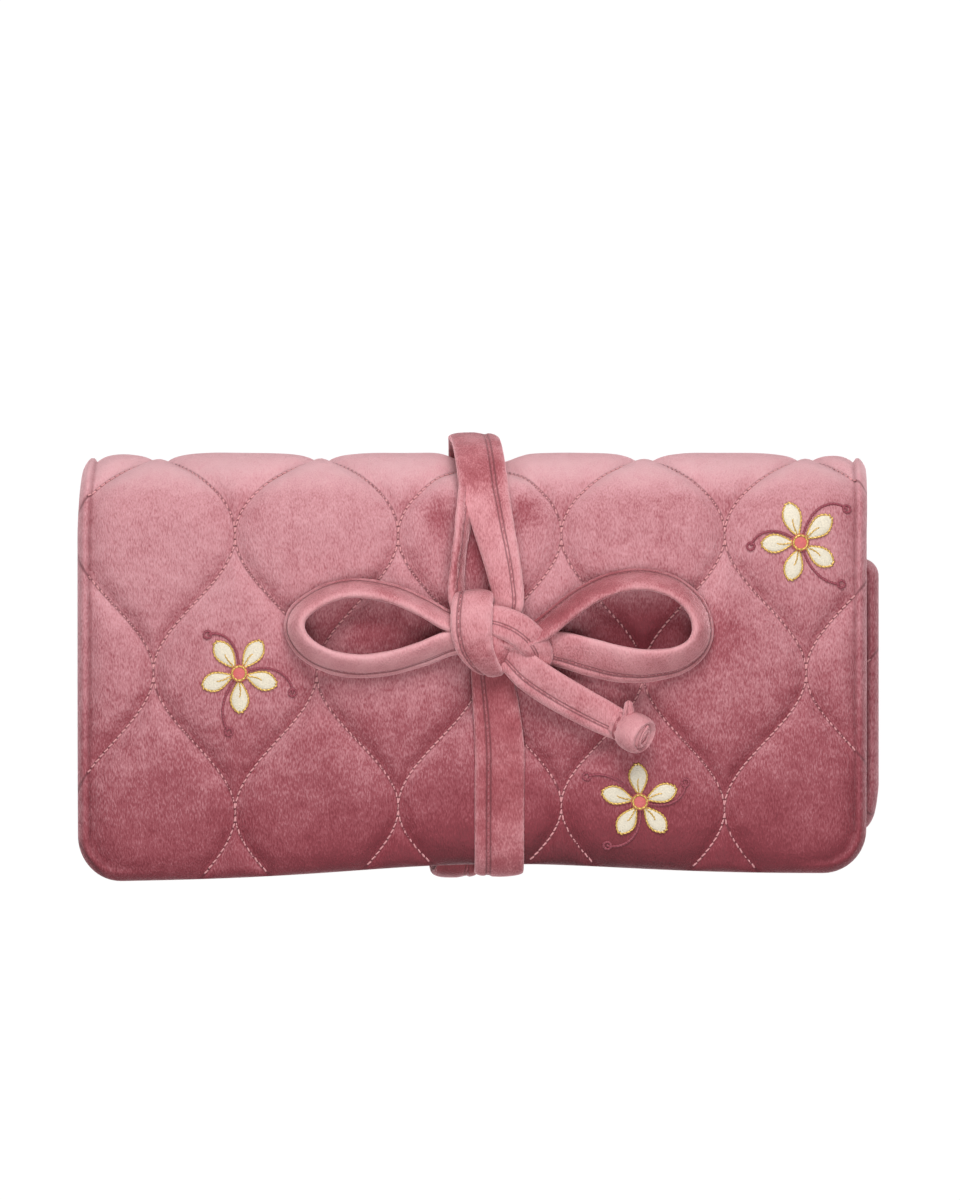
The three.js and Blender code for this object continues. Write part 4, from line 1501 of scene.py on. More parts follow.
@dataclass
class Tie:
    """The velvet tie: a band round the roll, and the bow on the flap."""

    cloth: Fabric
    velvet: Material
    thread: Material
    course: TieCourse = TieCourse()
    width: float = FULL_BAND
    top_x: float = -0.5
    top_sway: float = 2.1
    bulge: float = 5.1
    bulge_at: float = -8.0
    off_spine: float = 1.3
    under: float = 1.6
    loop_lean: float = 62.0
    # Painted light on the tail's rolled end.
    end_painted_light: float = 0.5
    end_girth: float = 3.7
    end_flat: float = 0.86

    def __post_init__(self) -> None:
        """Works out the level that the bow lies on."""
        self.top = self.cloth.height + 0.3
        self.on_flap = self.top + 0.9

    def leaned(self, width: float) -> float:
        """Height of a leaning loop's middle, with its lower edge on the flap."""
        angle = math.radians(self.loop_lean)
        return self.top + width / 2 * math.sin(angle) + 1.2 * math.cos(angle) - 0.4

    def round_spine(self, low: float, high: float, count: int) -> Route:
        """The band's route where it stands off the spine, bulging as a cosine of the angle.

        Args:
            low: the angle that it starts at, in degrees up from the spine's middle.
            high: the angle that it ends at.
            count: how many points it has.

        Returns:
            The route.
        """
        route = []
        for angle in np.linspace(low, high, count):
            from_bulge = angle - self.bulge_at
            fade = min(1, abs(from_bulge) / (80 if from_bulge > 0 else 45))
            radius = self.cloth.spine_radius + self.off_spine + self.bulge * math.cos(math.pi / 2 * fade)
            turn = math.radians(angle)
            y = self.cloth.spine_y + radius * math.cos(turn)
            z = self.cloth.spine_radius + radius * math.sin(turn)
            sway = (self.course.spine_x, self.top_x, self.top_x + self.top_sway)
            route.append((float(np.interp(angle, (0, 15, 60), sway)), y, z, self.width, 0.0))
        return route

    def back_route(self) -> Route:
        """From under the flap's edge, round the lower fold, along the back and up to the spine's middle.

        Returns:
            The route.
        """
        south, back_x = self.cloth.edge_y - 0.3, self.course.back_x
        route = [
            (back_x + 2.4, south + 4.2, 26.0, 9.0, 0.0),
            (back_x + 1.4, south + 0.8, 24.0, 11.0, 0.0),
            (back_x + 0.6, south, 17.0, 11.6, 0.0),
            (back_x + 0.2, south + 1.6, 9.0, 12.2, 0.0),
            (back_x, south + 5.5, 3.0, self.width, 0.0),
            (back_x, south + 11, self.under + 0.2, self.width, 0.0),
            (back_x, south + 18, self.under, self.width, 0.0),
        ]
        for y in (-14.0, 0.0, 12.0, 24.0, self.cloth.spine_y, self.cloth.spine_y + 8.5):
            route.append((float(self.course.behind(y)), y, self.under, self.width, 0.0))
        return route + self.round_spine(-40, 0, 5)

    def right_route(self) -> Route:
        """From the spine's middle over the top and down to the knot's right side.

        Returns:
            The route.
        """
        level = self.on_flap
        return self.round_spine(-6, 60, 8) + [
            (2.7, 40.6, level + 0.6, 11.2, 3.0), (4.0, 35.0, level + 1.8, 10.4, 6.0),
            (5.5, 29.0, level + 2.7, 9.6, 10.0), (6.9, 22.5, level + 3.3, 8.8, 15.0),
            (7.7, 16.5, level + 3.4, 8.0, 18.0), (6.8, 11.0, level + 3.2, 7.0, 16.0),
        ]

    def left_route(self) -> Route:
        """The second strand, leaning under the first, from behind it down to the knot's left side.

        Returns:
            The route.
        """
        level = self.on_flap
        return [
            (-0.4, 50.5, 28.0, 7.0, 0.0), (-1.0, 47.5, level - 5.6, 7.4, -24.0),
            (-2.2, 43.4, level - 2.2, 7.6, -48.0), (-3.4, 38.6, level + 0.4, 7.6, -64.0),
            (-4.2, 33.0, level + 1.7, 7.6, -70.0), (-5.1, 25.5, level + 2.0, 7.6, -70.0),
            (-5.4, 18.5, level + 2.5, 7.4, -62.0), (-4.0, 13.5, level + 3.2, 6.4, -40.0),
        ]

    def front_route(self) -> Route:
        """From the knot down the flap, over its free edge and tucked under it.

        Returns:
            The route, drooping with the flap.
        """
        edge, front, full = self.cloth.edge_y + 2.6, self.course.front_x, self.width
        lie = [
            (2.2, 6.0, 1.6, 8.0), (3.2, -1.0, 0.9, 10.0), (4.4, -9.0, 0.2, 11.6), (front, -20.0, -0.1, full),
            (front, -34.0, -0.2, full), (front, edge + 4.5, -0.9, full), (front, edge + 0.4, -2.2, full),
            (front - 0.1, edge - 2.0, -4.6, full), (front - 0.2, edge - 2.2, -7.2, 12.4),
            (front - 0.2, edge - 0.8, -9.2, 12.2), (front - 0.2, edge + 1.8, -9.9, 11.8),
        ]
        route = []
        for x, y, rise, width in lie:
            droop = float(self.cloth.sagged(np.array(y - self.cloth.edge_y)))
            route.append((x, y, self.top + rise - droop, width, 0.0))
        return route

    def left_loop(self) -> Route:
        """Out from the knot, round the left loop, back through the knot and out as the tail.

        Returns:
            The route.
        """
        flat = self.on_flap
        z = self.leaned(9.0)
        return [
            (-0.5, 10.2, z + 1.4, 6.4, 50.0), (-7.4, 11.8, z + 0.8, 8.0, 58.0),
            (-14.0, 15.4, z + 0.4, 8.6, 62.0), (-20.8, 18.4, z, 9.0, 64.0),
            (-28.0, 19.9, z, 9.2, 65.0), (-34.8, 19.6, z, 9.2, 65.0),
            (-41.2, 17.0, z, 9.2, 64.0), (-45.4, 13.5, z, 9.2, 62.0),
            (-46.2, 9.7, z, 9.2, 60.0), (-44.0, 5.5, z - 0.3, 9.0, 57.0),
            (-37.8, 1.7, z - 0.7, 8.8, 53.0), (-30.2, 0.3, z - 0.9, 8.6, 51.0),
            (-22.7, 1.0, z - 0.8, 8.6, 50.0), (-14.2, 3.4, z - 0.2, 8.4, 48.0),
            (-7.4, 6.0, z + 0.6, 8.0, 42.0), (0.0, 7.2, z + 1.6, 7.0, 26.0),
            (6.6, 4.6, z + 1.7, 8.2, 12.0), (12.4, -1.0, flat + 5.2, 9.2, 10.0),
            (18.6, -5.3, flat + 4.2, 9.4, 10.0), (25.2, -9.1, flat + 3.1, 9.2, 10.0),
            (31.4, -12.4, flat + 2.4, 8.8, 10.0), (35.4, -14.4, flat + 2.1, 8.0, 8.0),
            (37.4, -15.4, flat + 1.9, 7.4, 8.0),
        ]

    def right_loop(self) -> Route:
        """Out from the knot, round the right loop and back into the knot.

        Returns:
            The route.
        """
        flat = self.on_flap
        z = self.leaned(9.6)
        return [
            (3.0, 9.0, z + 1.6, 6.4, 40.0), (9.4, 7.4, z + 1.6, 7.6, 48.0),
            (15.2, 9.2, z + 1.0, 8.4, 52.0), (21.8, 14.4, z + 0.4, 9.2, 56.0),
            (28.4, 18.8, z, 9.6, 60.0), (36.2, 21.8, z, 9.8, 61.0),
            (43.8, 22.0, z, 9.8, 62.0), (50.6, 19.4, z, 9.8, 62.0),
            (55.0, 15.0, z, 9.8, 62.0), (56.6, 9.8, z, 9.8, 61.0),
            (55.2, 5.4, z - 0.2, 10.0, 57.0), (50.6, 1.9, z - 0.8, 10.4, 51.0),
            (43.8, 0.5, flat + 4.0, 10.8, 44.0), (36.4, 0.8, flat + 3.2, 11.0, 36.0),
            (29.0, 2.4, flat + 2.6, 10.8, 30.0), (21.6, 4.4, flat + 2.4, 9.8, 24.0),
            (14.0, 5.8, flat + 2.6, 8.0, 14.0), (5.0, 7.0, flat + 3.0, 6.6, 4.0),
        ]

    def sewn(self, band: Band) -> list[tuple[Shape, Material]]:
        """A band and its stitching, with their finishes."""
        return [(band.shape(), self.velvet), (band.sewing(), self.thread)]

    def build(self) -> None:
        """Makes the bow first, then the strands round the roll."""
        self.bow()
        self.knot()
        across = Lay.ACROSS
        # Each band's painted light and shade along it, set piece by piece.
        right = Band(self.right_route(), across, thickness=2.8, painted_light=(-0.3, -0.1, 0.5, 0.6))
        left = Band(self.left_route(), across, thickness=2.4, groove=-0.2, painted_light=(-0.3, 0.1))
        back = Band(self.back_route(), across, thickness=2.8, painted_light=(-1.2, -0.8, -0.4, -0.3))
        front = Band(self.front_route(), across, groove=-0.22, painted_light=(-0.5, -0.3, -0.1))
        over, under = (Body.FLAP, Body.SPINE), (Body.SPINE, Body.BACK)
        strands = [
            ("tie_right_strand", right, over, ("tie_upper_right_strand", "tie_spine_strand")),
            ("tie_left_strand", left, over, ("tie_upper_left_strand",)),
            ("tie_back_band", back, under, ("tie_back_strand",)),
        ]
        for name, band, bodies, nodes in strands:
            piece = make_piece(name, self.sewn(band))
            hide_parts(*nodes)
            self.cloth.bend(piece, *bodies)
        carry(make_piece("tie_front_band", self.sewn(front)), Body.FLAP, "tie_front_strand")

    def bow(self) -> None:
        """Makes the bow's two loops, one with its tail, on the flap."""
        # The loops' painted light and shade along them.
        left = Band(self.left_loop(), Lay.LEFT, thickness=2.9, groove=-0.2,
                    painted_light=(0.4, 0.2, 0.5, 1.0, 1.0, 0.5, 0.5))
        right = Band(self.right_loop(), Lay.RIGHT, thickness=2.9, groove=-0.24,
                     painted_light=(0.0, -0.4, -0.1, 0.5, 0.7, 0.1))
        tail = make_piece("bow_left_loop_and_tail", self.sewn(left))
        loop = make_piece("bow_right_loop_band", self.sewn(right))
        end = make_piece("bow_tail_end", self.tail_end())
        carry(tail, Body.FLAP, "bow_left_loop", "bow_tail")
        carry(loop, Body.FLAP, "bow_right_loop")
        carry(end, Body.FLAP, "bow_tail_tuck")
        left.path()[0]
        left.length()
        self.width * MM
        left.path()
        right.path()[0]
        right.length()
        self.width * MM
        right.path()

    def tail_end(self) -> list[tuple[Shape, Material]]:
        """The tail's end, rolled up past a tight wrap.

        A barrel turns round the tail's direction with folded sides, swells past the neck, and is
        dished at its end, where a strip winds inwards in a spiral. A small ear of cloth stands at
        the neck.

        Returns:
            The shapes and their finishes.
        """
        forward = unit(np.array([0.72, -0.36, 0.58]))
        side = unit(np.cross(UP, forward))
        up = np.cross(forward, side)
        neck = np.array([36.2, -14.7, self.on_flap + 2.4])
        reach = np.array([-1.6, 0.0, 0.6, 1.2, 2.2, 3.6, 5.0, 6.4, 7.4, 7.9, 7.8, 7.0, 6.4])
        swell = np.array([0.0, 0.0, 0.1, 0.4, 0.8, 1.1, 1.2, 1.2, 1.0, 0.7, 0.2, -0.3, -3.2])
        girth = (self.end_girth + swell)[:, None]
        turn = all_round(48)
        depth = np.linspace(0, 1, len(reach))[:, None]
        gather = np.exp(-((depth - 0.12) / 0.12) ** 2)
        folds = 1 + 0.07 * gather * np.sin(9 * turn) + 0.04 * np.sin(2 * turn + 5 * depth)
        spoke = np.cos(turn)[:, None] * side + self.end_flat * np.sin(turn)[:, None] * up
        rise = np.clip(swell, 0, None)[:, None, None] * 0.5 * up
        barrel = tube(neck + reach[:, None, None] * forward + (girth * folds)[..., None] * spoke + rise)
        # Painted light on the tail's end.
        barrel.painted_light = np.full(len(barrel.points), self.end_painted_light)
        wound = np.linspace(0.4, 2.7 * np.pi, 30)[:, None]
        radius = np.linspace(3.2, 1.1, 30)[:, None]
        winding = neck + 7.2 * forward + 0.6 * up
        winding = winding + radius * (np.cos(wound) * side + 0.5 * np.sin(wound) * up)
        strip = [(*point, 2.2, 0.0) for point in winding.tolist()]
        spiral = Band(strip, Lay.ACROSS, thickness=1.3, step=0.4, painted_light=(self.end_painted_light,))
        ear = Band([
            (37.6, -12.6, neck[2] + 2.8, 2.6, 20.0), (37.8, -10.6, neck[2] + 3.6, 2.8, 20.0),
            (37.8, -8.2, neck[2] + 3.8, 1.6, 20.0),
        ], Lay.LEFT, thickness=1.7, step=0.4, painted_light=(self.end_painted_light,), taper=(1.0, 0.2))
        round_neck = unit(np.roll(spoke, -1, axis=0) - spoke)
        wraps = [neck + 0.5 * k * forward + self.end_girth * spoke for k in range(3)]
        parts = [(shape, self.velvet) for shape in (barrel, spiral.shape(), ear.shape())]
        return parts + [(stitches(wrap, round_neck, spoke, 0.8, 0.22), self.thread) for wrap in wraps]

    def knot(self) -> None:
        """Makes the knot: a wrap over its front, a fold at its right and a rounded mass behind them."""
        top = self.top
        # The knot's painted light and shade along its wrap and fold.
        wrap = Band([
            (-0.6, 15.6, top + 1.2, 8.0, 0.0), (-0.9, 18.2, top + 4.6, 9.4, 0.0),
            (-1.2, 17.2, top + 8.2, 10.2, 2.0), (-1.6, 13.4, top + 10.2, 10.6, 4.0),
            (-1.6, 9.0, top + 10.6, 10.4, 5.0), (-0.7, 4.8, top + 9.6, 9.4, 6.0),
            (1.4, 1.2, top + 7.4, 7.6, 4.0), (3.6, -0.8, top + 4.6, 5.6, 2.0),
            (4.6, -0.4, top + 1.6, 4.4, 0.0),
        ], Lay.ACROSS, thickness=3.0, groove=-0.3, painted_light=(0.45, 0.45, 0.2))
        fold = Band([
            (0.6, 12.4, top + 6.6, 7.0, 8.0), (5.4, 11.6, top + 8.4, 8.0, 10.0),
            (10.0, 9.6, top + 8.6, 8.4, 10.0), (13.6, 6.4, top + 7.6, 8.0, 8.0),
            (15.4, 2.8, top + 5.6, 7.0, 4.0), (14.4, -0.2, top + 3.4, 5.6, 0.0),
        ], Lay.RIGHT, thickness=3.0, groove=0.1, painted_light=(0.5, 0.2))
        middle, reach = np.array([2.4, 7.6, top + 4.7]), np.array([7.2, 8.6, 4.6])
        turn = all_round(40)
        climb = np.linspace(-np.pi / 2 + 0.05, np.pi / 2 - 0.05, 24)[:, None]
        bulge = np.abs(np.cos(climb)) ** 0.8
        ball = np.broadcast_arrays(bulge * np.cos(turn), bulge * np.sin(turn), np.sin(climb))
        mass = tube(middle + reach * np.stack(ball, axis=-1))
        parts = self.sewn(wrap) + self.sewn(fold) + [(mass, self.velvet)]
        carry(make_piece("bow_knot_wrap", parts), Body.FLAP, "bow_knot")


# What is sewn inside the roll


@dataclass
class Box:
    """A box's lowest and highest corners."""

    low: Array
    high: Array

    @classmethod
    def of(cls, node: str) -> "Box":
        """The box that a frame node fills."""
        low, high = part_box(node)
        return cls(np.array(low) / MM, np.array(high) / MM)

    @property
    def middle(self) -> Array:
        """Its middle."""
        return (self.low + self.high) / 2

    @property
    def half(self) -> Array:
        """Half its size each way."""
        return (self.high - self.low) / 2

    def between(self, west: float, east: float) -> "Box":
        """The box with other ends along X."""
        return Box(np.array([west, *self.low[1:]]), np.array([east, *self.high[1:]]))


def soft_plate(box: Box, corner: float, swell: float, seed: float, step: float = 2.2) -> Shape:
    """A thin cloth plate filling a box, with rounded corners and a soft rim.

    Over a grid of u and v from -1 to 1 the outline is pulled in at the corners, the two faces stand
    half the thickness from the middle level, falling to it in a quarter round at the rim, and a
    slow ripple and a swell in the middle lift the upper face.

    Args:
        box: the box that it fills.
        corner: the corners' radius.
        swell: how far the middle lifts.
        seed: where the ripple starts.
        step: distance between the grid's places.

    Returns:
        The shape.
    """
    middle, half = box.middle, box.half
    corner = min(corner, 0.6 * half[1], 0.6 * half[0])
    columns, rows = (crowded(-reach, reach, step, (True, True), min(1.2, 0.4 * reach)) for reach in half[:2])
    u, y = np.meshgrid(columns / half[0], rows)
    cut = np.maximum(0, np.abs(y) - half[1] + corner)
    reach = half[0] - corner + np.sqrt(np.maximum(0, corner**2 - cut**2))
    x = u * reach
    edge = np.minimum(reach - np.abs(x), half[1] - np.abs(y))
    fall = quarter_round(edge, min(0.8, 0.4 * half[1])) * half[2]
    lift = swell * np.clip(edge / 6, 0, 1) * (1 + 0.6 * ripple(x, y, 19.0, seed))
    over = np.stack([x, y, fall + lift], axis=-1) + middle
    under = np.stack([x, y, -fall], axis=-1) + middle
    return sandwich(over, under, x + NO_SEAM, y + NO_SEAM)


def run_stitches(box: Box, inset: float, level: float) -> Shape:
    """A run of stitches round a box's outline, seen from above, at one level.

    Args:
        box: the box.
        inset: how far inside the outline they run.
        level: their height.

    Returns:
        The stitches.
    """
    pitch, length, radius = 2.4, 1.7, 0.2
    (west, south), (east, north) = box.low[:2] + inset, box.high[:2] - inset
    outline = [(west, south), (east, south), (east, north), (west, north)]
    corners = np.array([(*corner, level) for corner in outline])
    spots, ways = [], []
    for first, second in zip(corners, np.roll(corners, -1, axis=0)):
        side = np.linalg.norm(second - first)
        even = np.arange(pitch / 2, side - 1.0, pitch)[:, None]
        way = (second - first) / side
        spots.append(first + even * way)
        ways.append(np.broadcast_to(way, spots[-1].shape))
    return stitches(np.vstack(spots), np.vstack(ways), UP, length, radius)


class Facing(Enum):
    """Which way a pocket's face points with the roll closed."""

    UP = 1.0
    DOWN = -1.0


@dataclass
class ZipPocket:
    """A flat pocket with a zip: two cloth panels, two tapes, a row of teeth, a slider and its pull."""

    name: str
    body: Body
    facing: Facing
    cloth: Material
    tape: Material
    thread: Material
    metal: Material
    tooth_pitch: float = 1.7
    stitch_lift: float = 0.05
    narrowest_sheet: float = 10.0

    def sheet(self, node: str, slot: Slot, corner: float, swell: float, inset: float) -> None:
        """Args:
            node: the frame's node.
            slot: its finish.
            corner: its corners' radius.
            swell: how far its middle lifts.
            inset: how far its stitching runs inside its outline.
        """
        box, out = Box.of(node), self.facing.value
        plate = soft_plate(box, corner, out * swell, seed=len(node) * 0.7)
        level = (box.high[2] if out > 0 else box.low[2]) + self.stitch_lift * out
        material = self.tape if slot is Slot.ZIP else self.cloth
        parts = [(plate, material), (run_stitches(box, inset, level), self.thread)]
        made = make_piece(f"{node}_cloth", parts)
        carry(made, self.body, node)
        width, depth, _ = (box.high - box.low) * MM
        min(width, depth) >= self.narrowest_sheet * MM

    def teeth(self) -> None:
        """Makes the teeth: small ridged blocks from the two sides, set between each other."""
        node = f"{self.name}_zip_teeth"
        box = Box.of(node)
        middle, half = box.middle, box.half
        count = int(2 * half[0] / self.tooth_pitch)
        x = box.low[0] + self.tooth_pitch * (np.arange(2 * count) + 0.5) / 2
        side = np.where(np.arange(2 * count) % 2 == 0, 1.0, -1.0)
        reach = np.array([-0.35, 0.2, 0.55, 1.0]) * half[1]
        wide = np.array([0.36, 0.5, 0.42, 0.3]) * self.tooth_pitch
        tall = np.array([0.7, 1.0, 0.95, 0.55]) * half[2]
        turn = np.radians([35, 90, 145, 215, 270, 325])
        ring_x = (wide[:, None] / 2) * signed_power(np.cos(turn), 0.5)
        ring_z = tall[:, None] * signed_power(np.sin(turn), 0.5)
        points = np.stack(np.broadcast_arrays(
            x[:, None, None] + ring_x,
            middle[1] + side[:, None, None] * reach[:, None],
            middle[2] + ring_z,
        ), axis=-1)
        faces = spindle_faces(len(x))
        faces[side < 0] = faces[side < 0][:, :, ::-1]
        row = Shape(points.reshape(-1, 3), faces.reshape(-1, 4))
        carry(make_piece(f"{self.name}_zip_row", [(row, self.metal)]), self.body, node)

    def build(self) -> None:
        """Makes the pocket's panels, tapes and teeth, and dresses its slider and pull."""
        for part in ("lower", "upper"):
            self.sheet(f"{self.name}_pocket_{part}", Slot.POCKET, corner=3.0, swell=0.35, inset=1.6)
            self.sheet(f"{self.name}_zip_tape_{part}", Slot.ZIP, corner=0.4, swell=0.0, inset=0.7)
        self.teeth()
        for part in ("slider", "pull"):
            dress_node(f"{self.name}_zip_{part}", self.metal)


def dress_node(node: str, material: Material) -> None:
    """Gives a frame node that stays in view a finish."""
    for slot in bpy.data.objects[node].material_slots:
        slot.material = material


@dataclass
class RingBar:
    """The padded bar for rings, with a sewn tab at one end and a snap tab at the other."""

    velvet: Material
    satin: Material
    thread: Material
    metal: Material
    gathers: int = 14
    end_round: float = 3.2
    end_drop: float = 3.0
    end_dish: float = 1.3
    end_hole: float = 0.9
    seam_turn: float = 60.0
    tuck: float = 1.5
    climb: float = 7.4

    def bar(self) -> None:
        """Makes the bar: a stuffed tube with a seam along it and gathered ends.

        The radius is steady along the bar with slow unevenness, rounds in at the ends as a quarter
        circle, and is folded by a cosine of the turn that grows towards the middle of each end.
        """
        box = Box.of("ring_bar_cover")
        middle, half = box.middle, box.half
        flat = half[0] - self.end_round
        bow = flat + self.end_round * np.sin(np.radians(np.linspace(0, 90, 14)))
        x = np.concatenate([-bow[::-1], np.linspace(-flat, flat, 70)[1:-1], bow])
        x = np.concatenate([[self.end_dish - half[0]], x, [half[0] - self.end_dish]])
        past = np.clip((np.abs(x) - flat) / self.end_round, 0, 1)
        radius = half[2] - self.end_drop * (1 - np.sqrt(1 - past**2))
        radius[0] = radius[-1] = self.end_hole
        gathered = np.clip((half[2] - radius) / self.end_drop, 0, 1)[:, None]
        turn = all_round(72)
        folds = 1 - 0.09 * gathered * (1 - np.cos(self.gathers * turn))
        folds = folds - 0.012 * (1 + np.sin(0.35 * x[:, None] + 3 * turn))
        seam_turn = math.radians(self.seam_turn)
        off_seam = np.angle(np.exp(1j * (turn - seam_turn)))
        spread = radius[:, None] * folds * (1 - 0.06 * np.exp(-((off_seam / 0.1) ** 2)))
        across = np.broadcast_arrays(x[:, None], spread * np.cos(turn), spread * np.sin(turn))
        roll = tube(middle + np.stack(across, axis=-1))
        spots = np.arange(-half[0] + 4, half[0] - 4, 2.2)[:, None]
        outward = np.array([0.0, math.cos(seam_turn), math.sin(seam_turn)])
        seam = middle + spots * EAST + 0.93 * half[2] * outward
        sewn = stitches(seam, EAST, outward, 1.6, 0.22, 8.0)
        parts = [(roll, self.velvet), (sewn, self.thread)]
        piece = make_piece("ring_bar_padded_roll", parts)
        carry(piece, Body.RING_BAR, "ring_bar_cover", "ring_bar_core")

    def tabs(self) -> None:
        """Makes the two tabs: flat on the back panel, then climbing to the middle of the bar's ends."""
        bar = Box.of("ring_bar_cover")
        inner = bar.high[0] - self.tuck
        for node, side in (("ring_bar_hinge_tab", -1), ("ring_bar_snap_tab", 1)):
            box = Box.of(node)
            outer = np.abs([box.low[0], box.high[0]]).max()
            reach = np.sort(side * np.array([inner, inner + self.climb, outer]))
            plate = soft_plate(box.between(reach[0], reach[2]), corner=2.2, swell=0.0, seed=1.1, step=0.8)
            share = np.clip((inner + self.climb - side * plate.points[:, 0]) / self.climb, 0, 1)
            share = share**2 * (3 - 2 * share)
            plate.points[:, 1:] += share[:, None] * (bar.middle - box.middle)[1:]
            flat = box.between(*(reach[:2] if side < 0 else reach[1:]))
            sewn = run_stitches(flat, inset=1.1, level=box.high[2] + 0.02)
            piece = make_piece(f"{node}_cloth", [(plate, self.satin), (sewn, self.thread)])
            carry(piece, Body.RING_BAR, node)

    def build(self) -> None:
        """Makes the bar and its tabs, and dresses the snap."""
        self.bar()
        self.tabs()
        for node in ("snap_stud", "snap_cap"):
            dress_node(node, self.metal)


# Embroidery


def turned(across: Array, up: Array, degrees: float) -> tuple[Array, Array]:
    """Places in a plane, turned about its origin."""
    c, s = math.cos(math.radians(degrees)), math.sin(math.radians(degrees))
    return across * c - up * s, across * s + up * c


def arc(radius: float, end: float, count: int) -> Array:
    """Places round a circle about the origin, from the angle 0 to an end in radians."""
    angle = np.linspace(0, end, count)
    return radius * np.stack([np.cos(angle), np.sin(angle)], axis=1)


@dataclass(frozen=True)
class Couching:
    """How a line of embroidery stitches lies: its pitch, half its thickness, and its height."""

    pitch: float
    radius: float
    height: float


@dataclass
class Sprig:
    """An embroidered blossom: satin-stitched petals edged in gilt thread, a knotted centre, tendrils."""

    cover: QuiltedCover
    centre: tuple[float, float]
    turn: float
    petals: int = 5
    petal_length: float = 8.2
    petal_width: float = 4.5
    inner: float = 1.7
    petal_foot: float = -0.15
    thread_pitch: float = 0.6
    heart: float = 2.3
    heart_ring: float = 1.75
    rim_line: Couching = Couching(0.95, 0.24, 0.3)
    vein_line: Couching = Couching(0.9, 0.17, 0.66)
    stem_line: Couching = Couching(0.8, 0.34, 0.16)
    curl_line: Couching = Couching(0.7, 0.34, 0.2)
    heart_line: Couching = Couching(1.0, 0.3, 0.95)
    tendrils: tuple[Point, ...] = ((52.0, -105.0, 15.0), (128.0, 105.0, 13.0), (270.0, 70.0, 14.0))

    def lay(self, across: Array, up: Array, height: Array | float) -> Array:
        """Points over the flap's outside, from places in the sprig's own turned frame.

        Args:
            across: places across the sprig.
            up: places up the sprig.
            height: heights over the velvet.

        Returns:
            The points.
        """
        x, y = turned(across, up, self.turn)
        cloth = self.cover.cloth
        points = self.cover.outside(x + self.centre[0] + cloth.skew, y + self.centre[1] - cloth.edge_y)
        points[..., 2] += height
        return points

    def petal(self, angle: float) -> tuple[Shape, Array]:
        """One petal: a leaf outline with a notch at its tip, domed across, with slanting threads.

        Its half width is width/2 sin(pi u^1.35)^0.7 at the share u of its length, and its threads
        are a cosine ripple along lines that slant out from its middle.

        Args:
            angle: its direction, in degrees.

        Returns:
            The petal, and its outline's places.
        """
        u, v = np.meshgrid(np.linspace(0.02, 0.98, 64), np.linspace(1, -1, 13), indexing="ij")
        side = v * self.petal_width / 2 * np.sin(np.pi * u**1.35) ** 0.7
        out = self.inner + self.petal_length * u - 0.5 * np.exp(-((v / 0.4) ** 2)) * u**6
        dome = np.sqrt(1 - np.clip(np.abs(v), 0, 1) ** 2.4) * np.sin(np.pi * u) ** 0.35
        threads = np.cos(2 * np.pi * (out - 0.6 * np.abs(side)) / self.thread_pitch)
        height = 0.12 + (0.55 + 0.07 * threads) * dome
        across, up = turned(out, side, angle)
        over, under = (self.lay(across, up, level) for level in (height, self.petal_foot))
        places = np.stack([across, up], axis=-1)
        rim = np.concatenate([places[:, 0], places[::-1, -1]])
        return sandwich(over, under, out + NO_SEAM, side + NO_SEAM), rim

    def couched(self, places: Array, line: Couching) -> Shape:
        """A line of stitches along places in the sprig's frame.

        Args:
            places: points of the line.
            line: how its stitches lie.

        Returns:
            The stitches.
        """
        run = run_length(places)
        even = np.arange(line.pitch / 2, run[-1], line.pitch)
        points, ahead = (
            self.lay(*(np.interp(even + past, run, column) for column in places.T), line.height)
            for past in (0.0, 0.2)
        )
        return stitches(points, unit(ahead - points + 1e-6), UP, 1.25 * line.pitch, line.radius, 12.0)

    def tendril(self, start: float, sweep: float, length: float) -> Array:
        """Places along a tendril that curls as it leaves the blossom.

        Args:
            start: the direction in which it leaves, in degrees.
            sweep: how far it turns, in degrees.
            length: its length.

        Returns:
            The places.
        """
        share = np.linspace(0, 1, 60)
        heading = np.radians(start + sweep * share**1.5)
        steps = length / (len(share) - 1) * np.stack([np.cos(heading), np.sin(heading)], axis=1)
        return np.array(turned(self.inner, 0.0, start)) + np.cumsum(steps, axis=0)

    def build(self, name: str, threads: dict[str, Material]) -> None:
        """Makes the sprig as one piece on the flap.

        Args:
            name: the piece's name.
            threads: the thread materials by their use.
        """
        parts = []
        vein = np.stack([np.linspace(2.4, 6.2, 20), 0.25 * np.sin(np.linspace(0, 3, 20))])
        for k in range(self.petals):
            angle = 90 + 360 * k / self.petals
            shape, rim = self.petal(angle)
            places = np.stack(turned(*vein, angle), axis=1)
            parts.append((shape, threads["petal"]))
            parts.append((self.couched(rim, self.rim_line), threads["gilt"]))
            parts.append((self.couched(places, self.vein_line), threads["gilt"]))
        for start, sweep, length in self.tendrils:
            places = self.tendril(start, sweep, length)
            curl = places[-1] + arc(0.9, 6.0, 26)
            parts.append((self.couched(places, self.stem_line), threads["stem"]))
            parts.append((self.couched(curl, self.curl_line), threads["stem"]))
        u, v = np.meshgrid(np.linspace(0.05, 1, 9), all_round(28), indexing="ij")
        rise = 0.2 + 0.95 * np.sqrt(1 - 0.96 * u**2)
        dome = self.lay(self.heart * u * np.cos(v), self.heart * u * np.sin(v), rise)
        parts.append((tube(dome), threads["centre"]))
        parts.append((self.couched(arc(self.heart_ring, 6.1, 40), self.heart_line), threads["gilt"]))
        piece = make_piece(name, parts)
        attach(piece, Body.FLAP.value)


# The scene around the roll


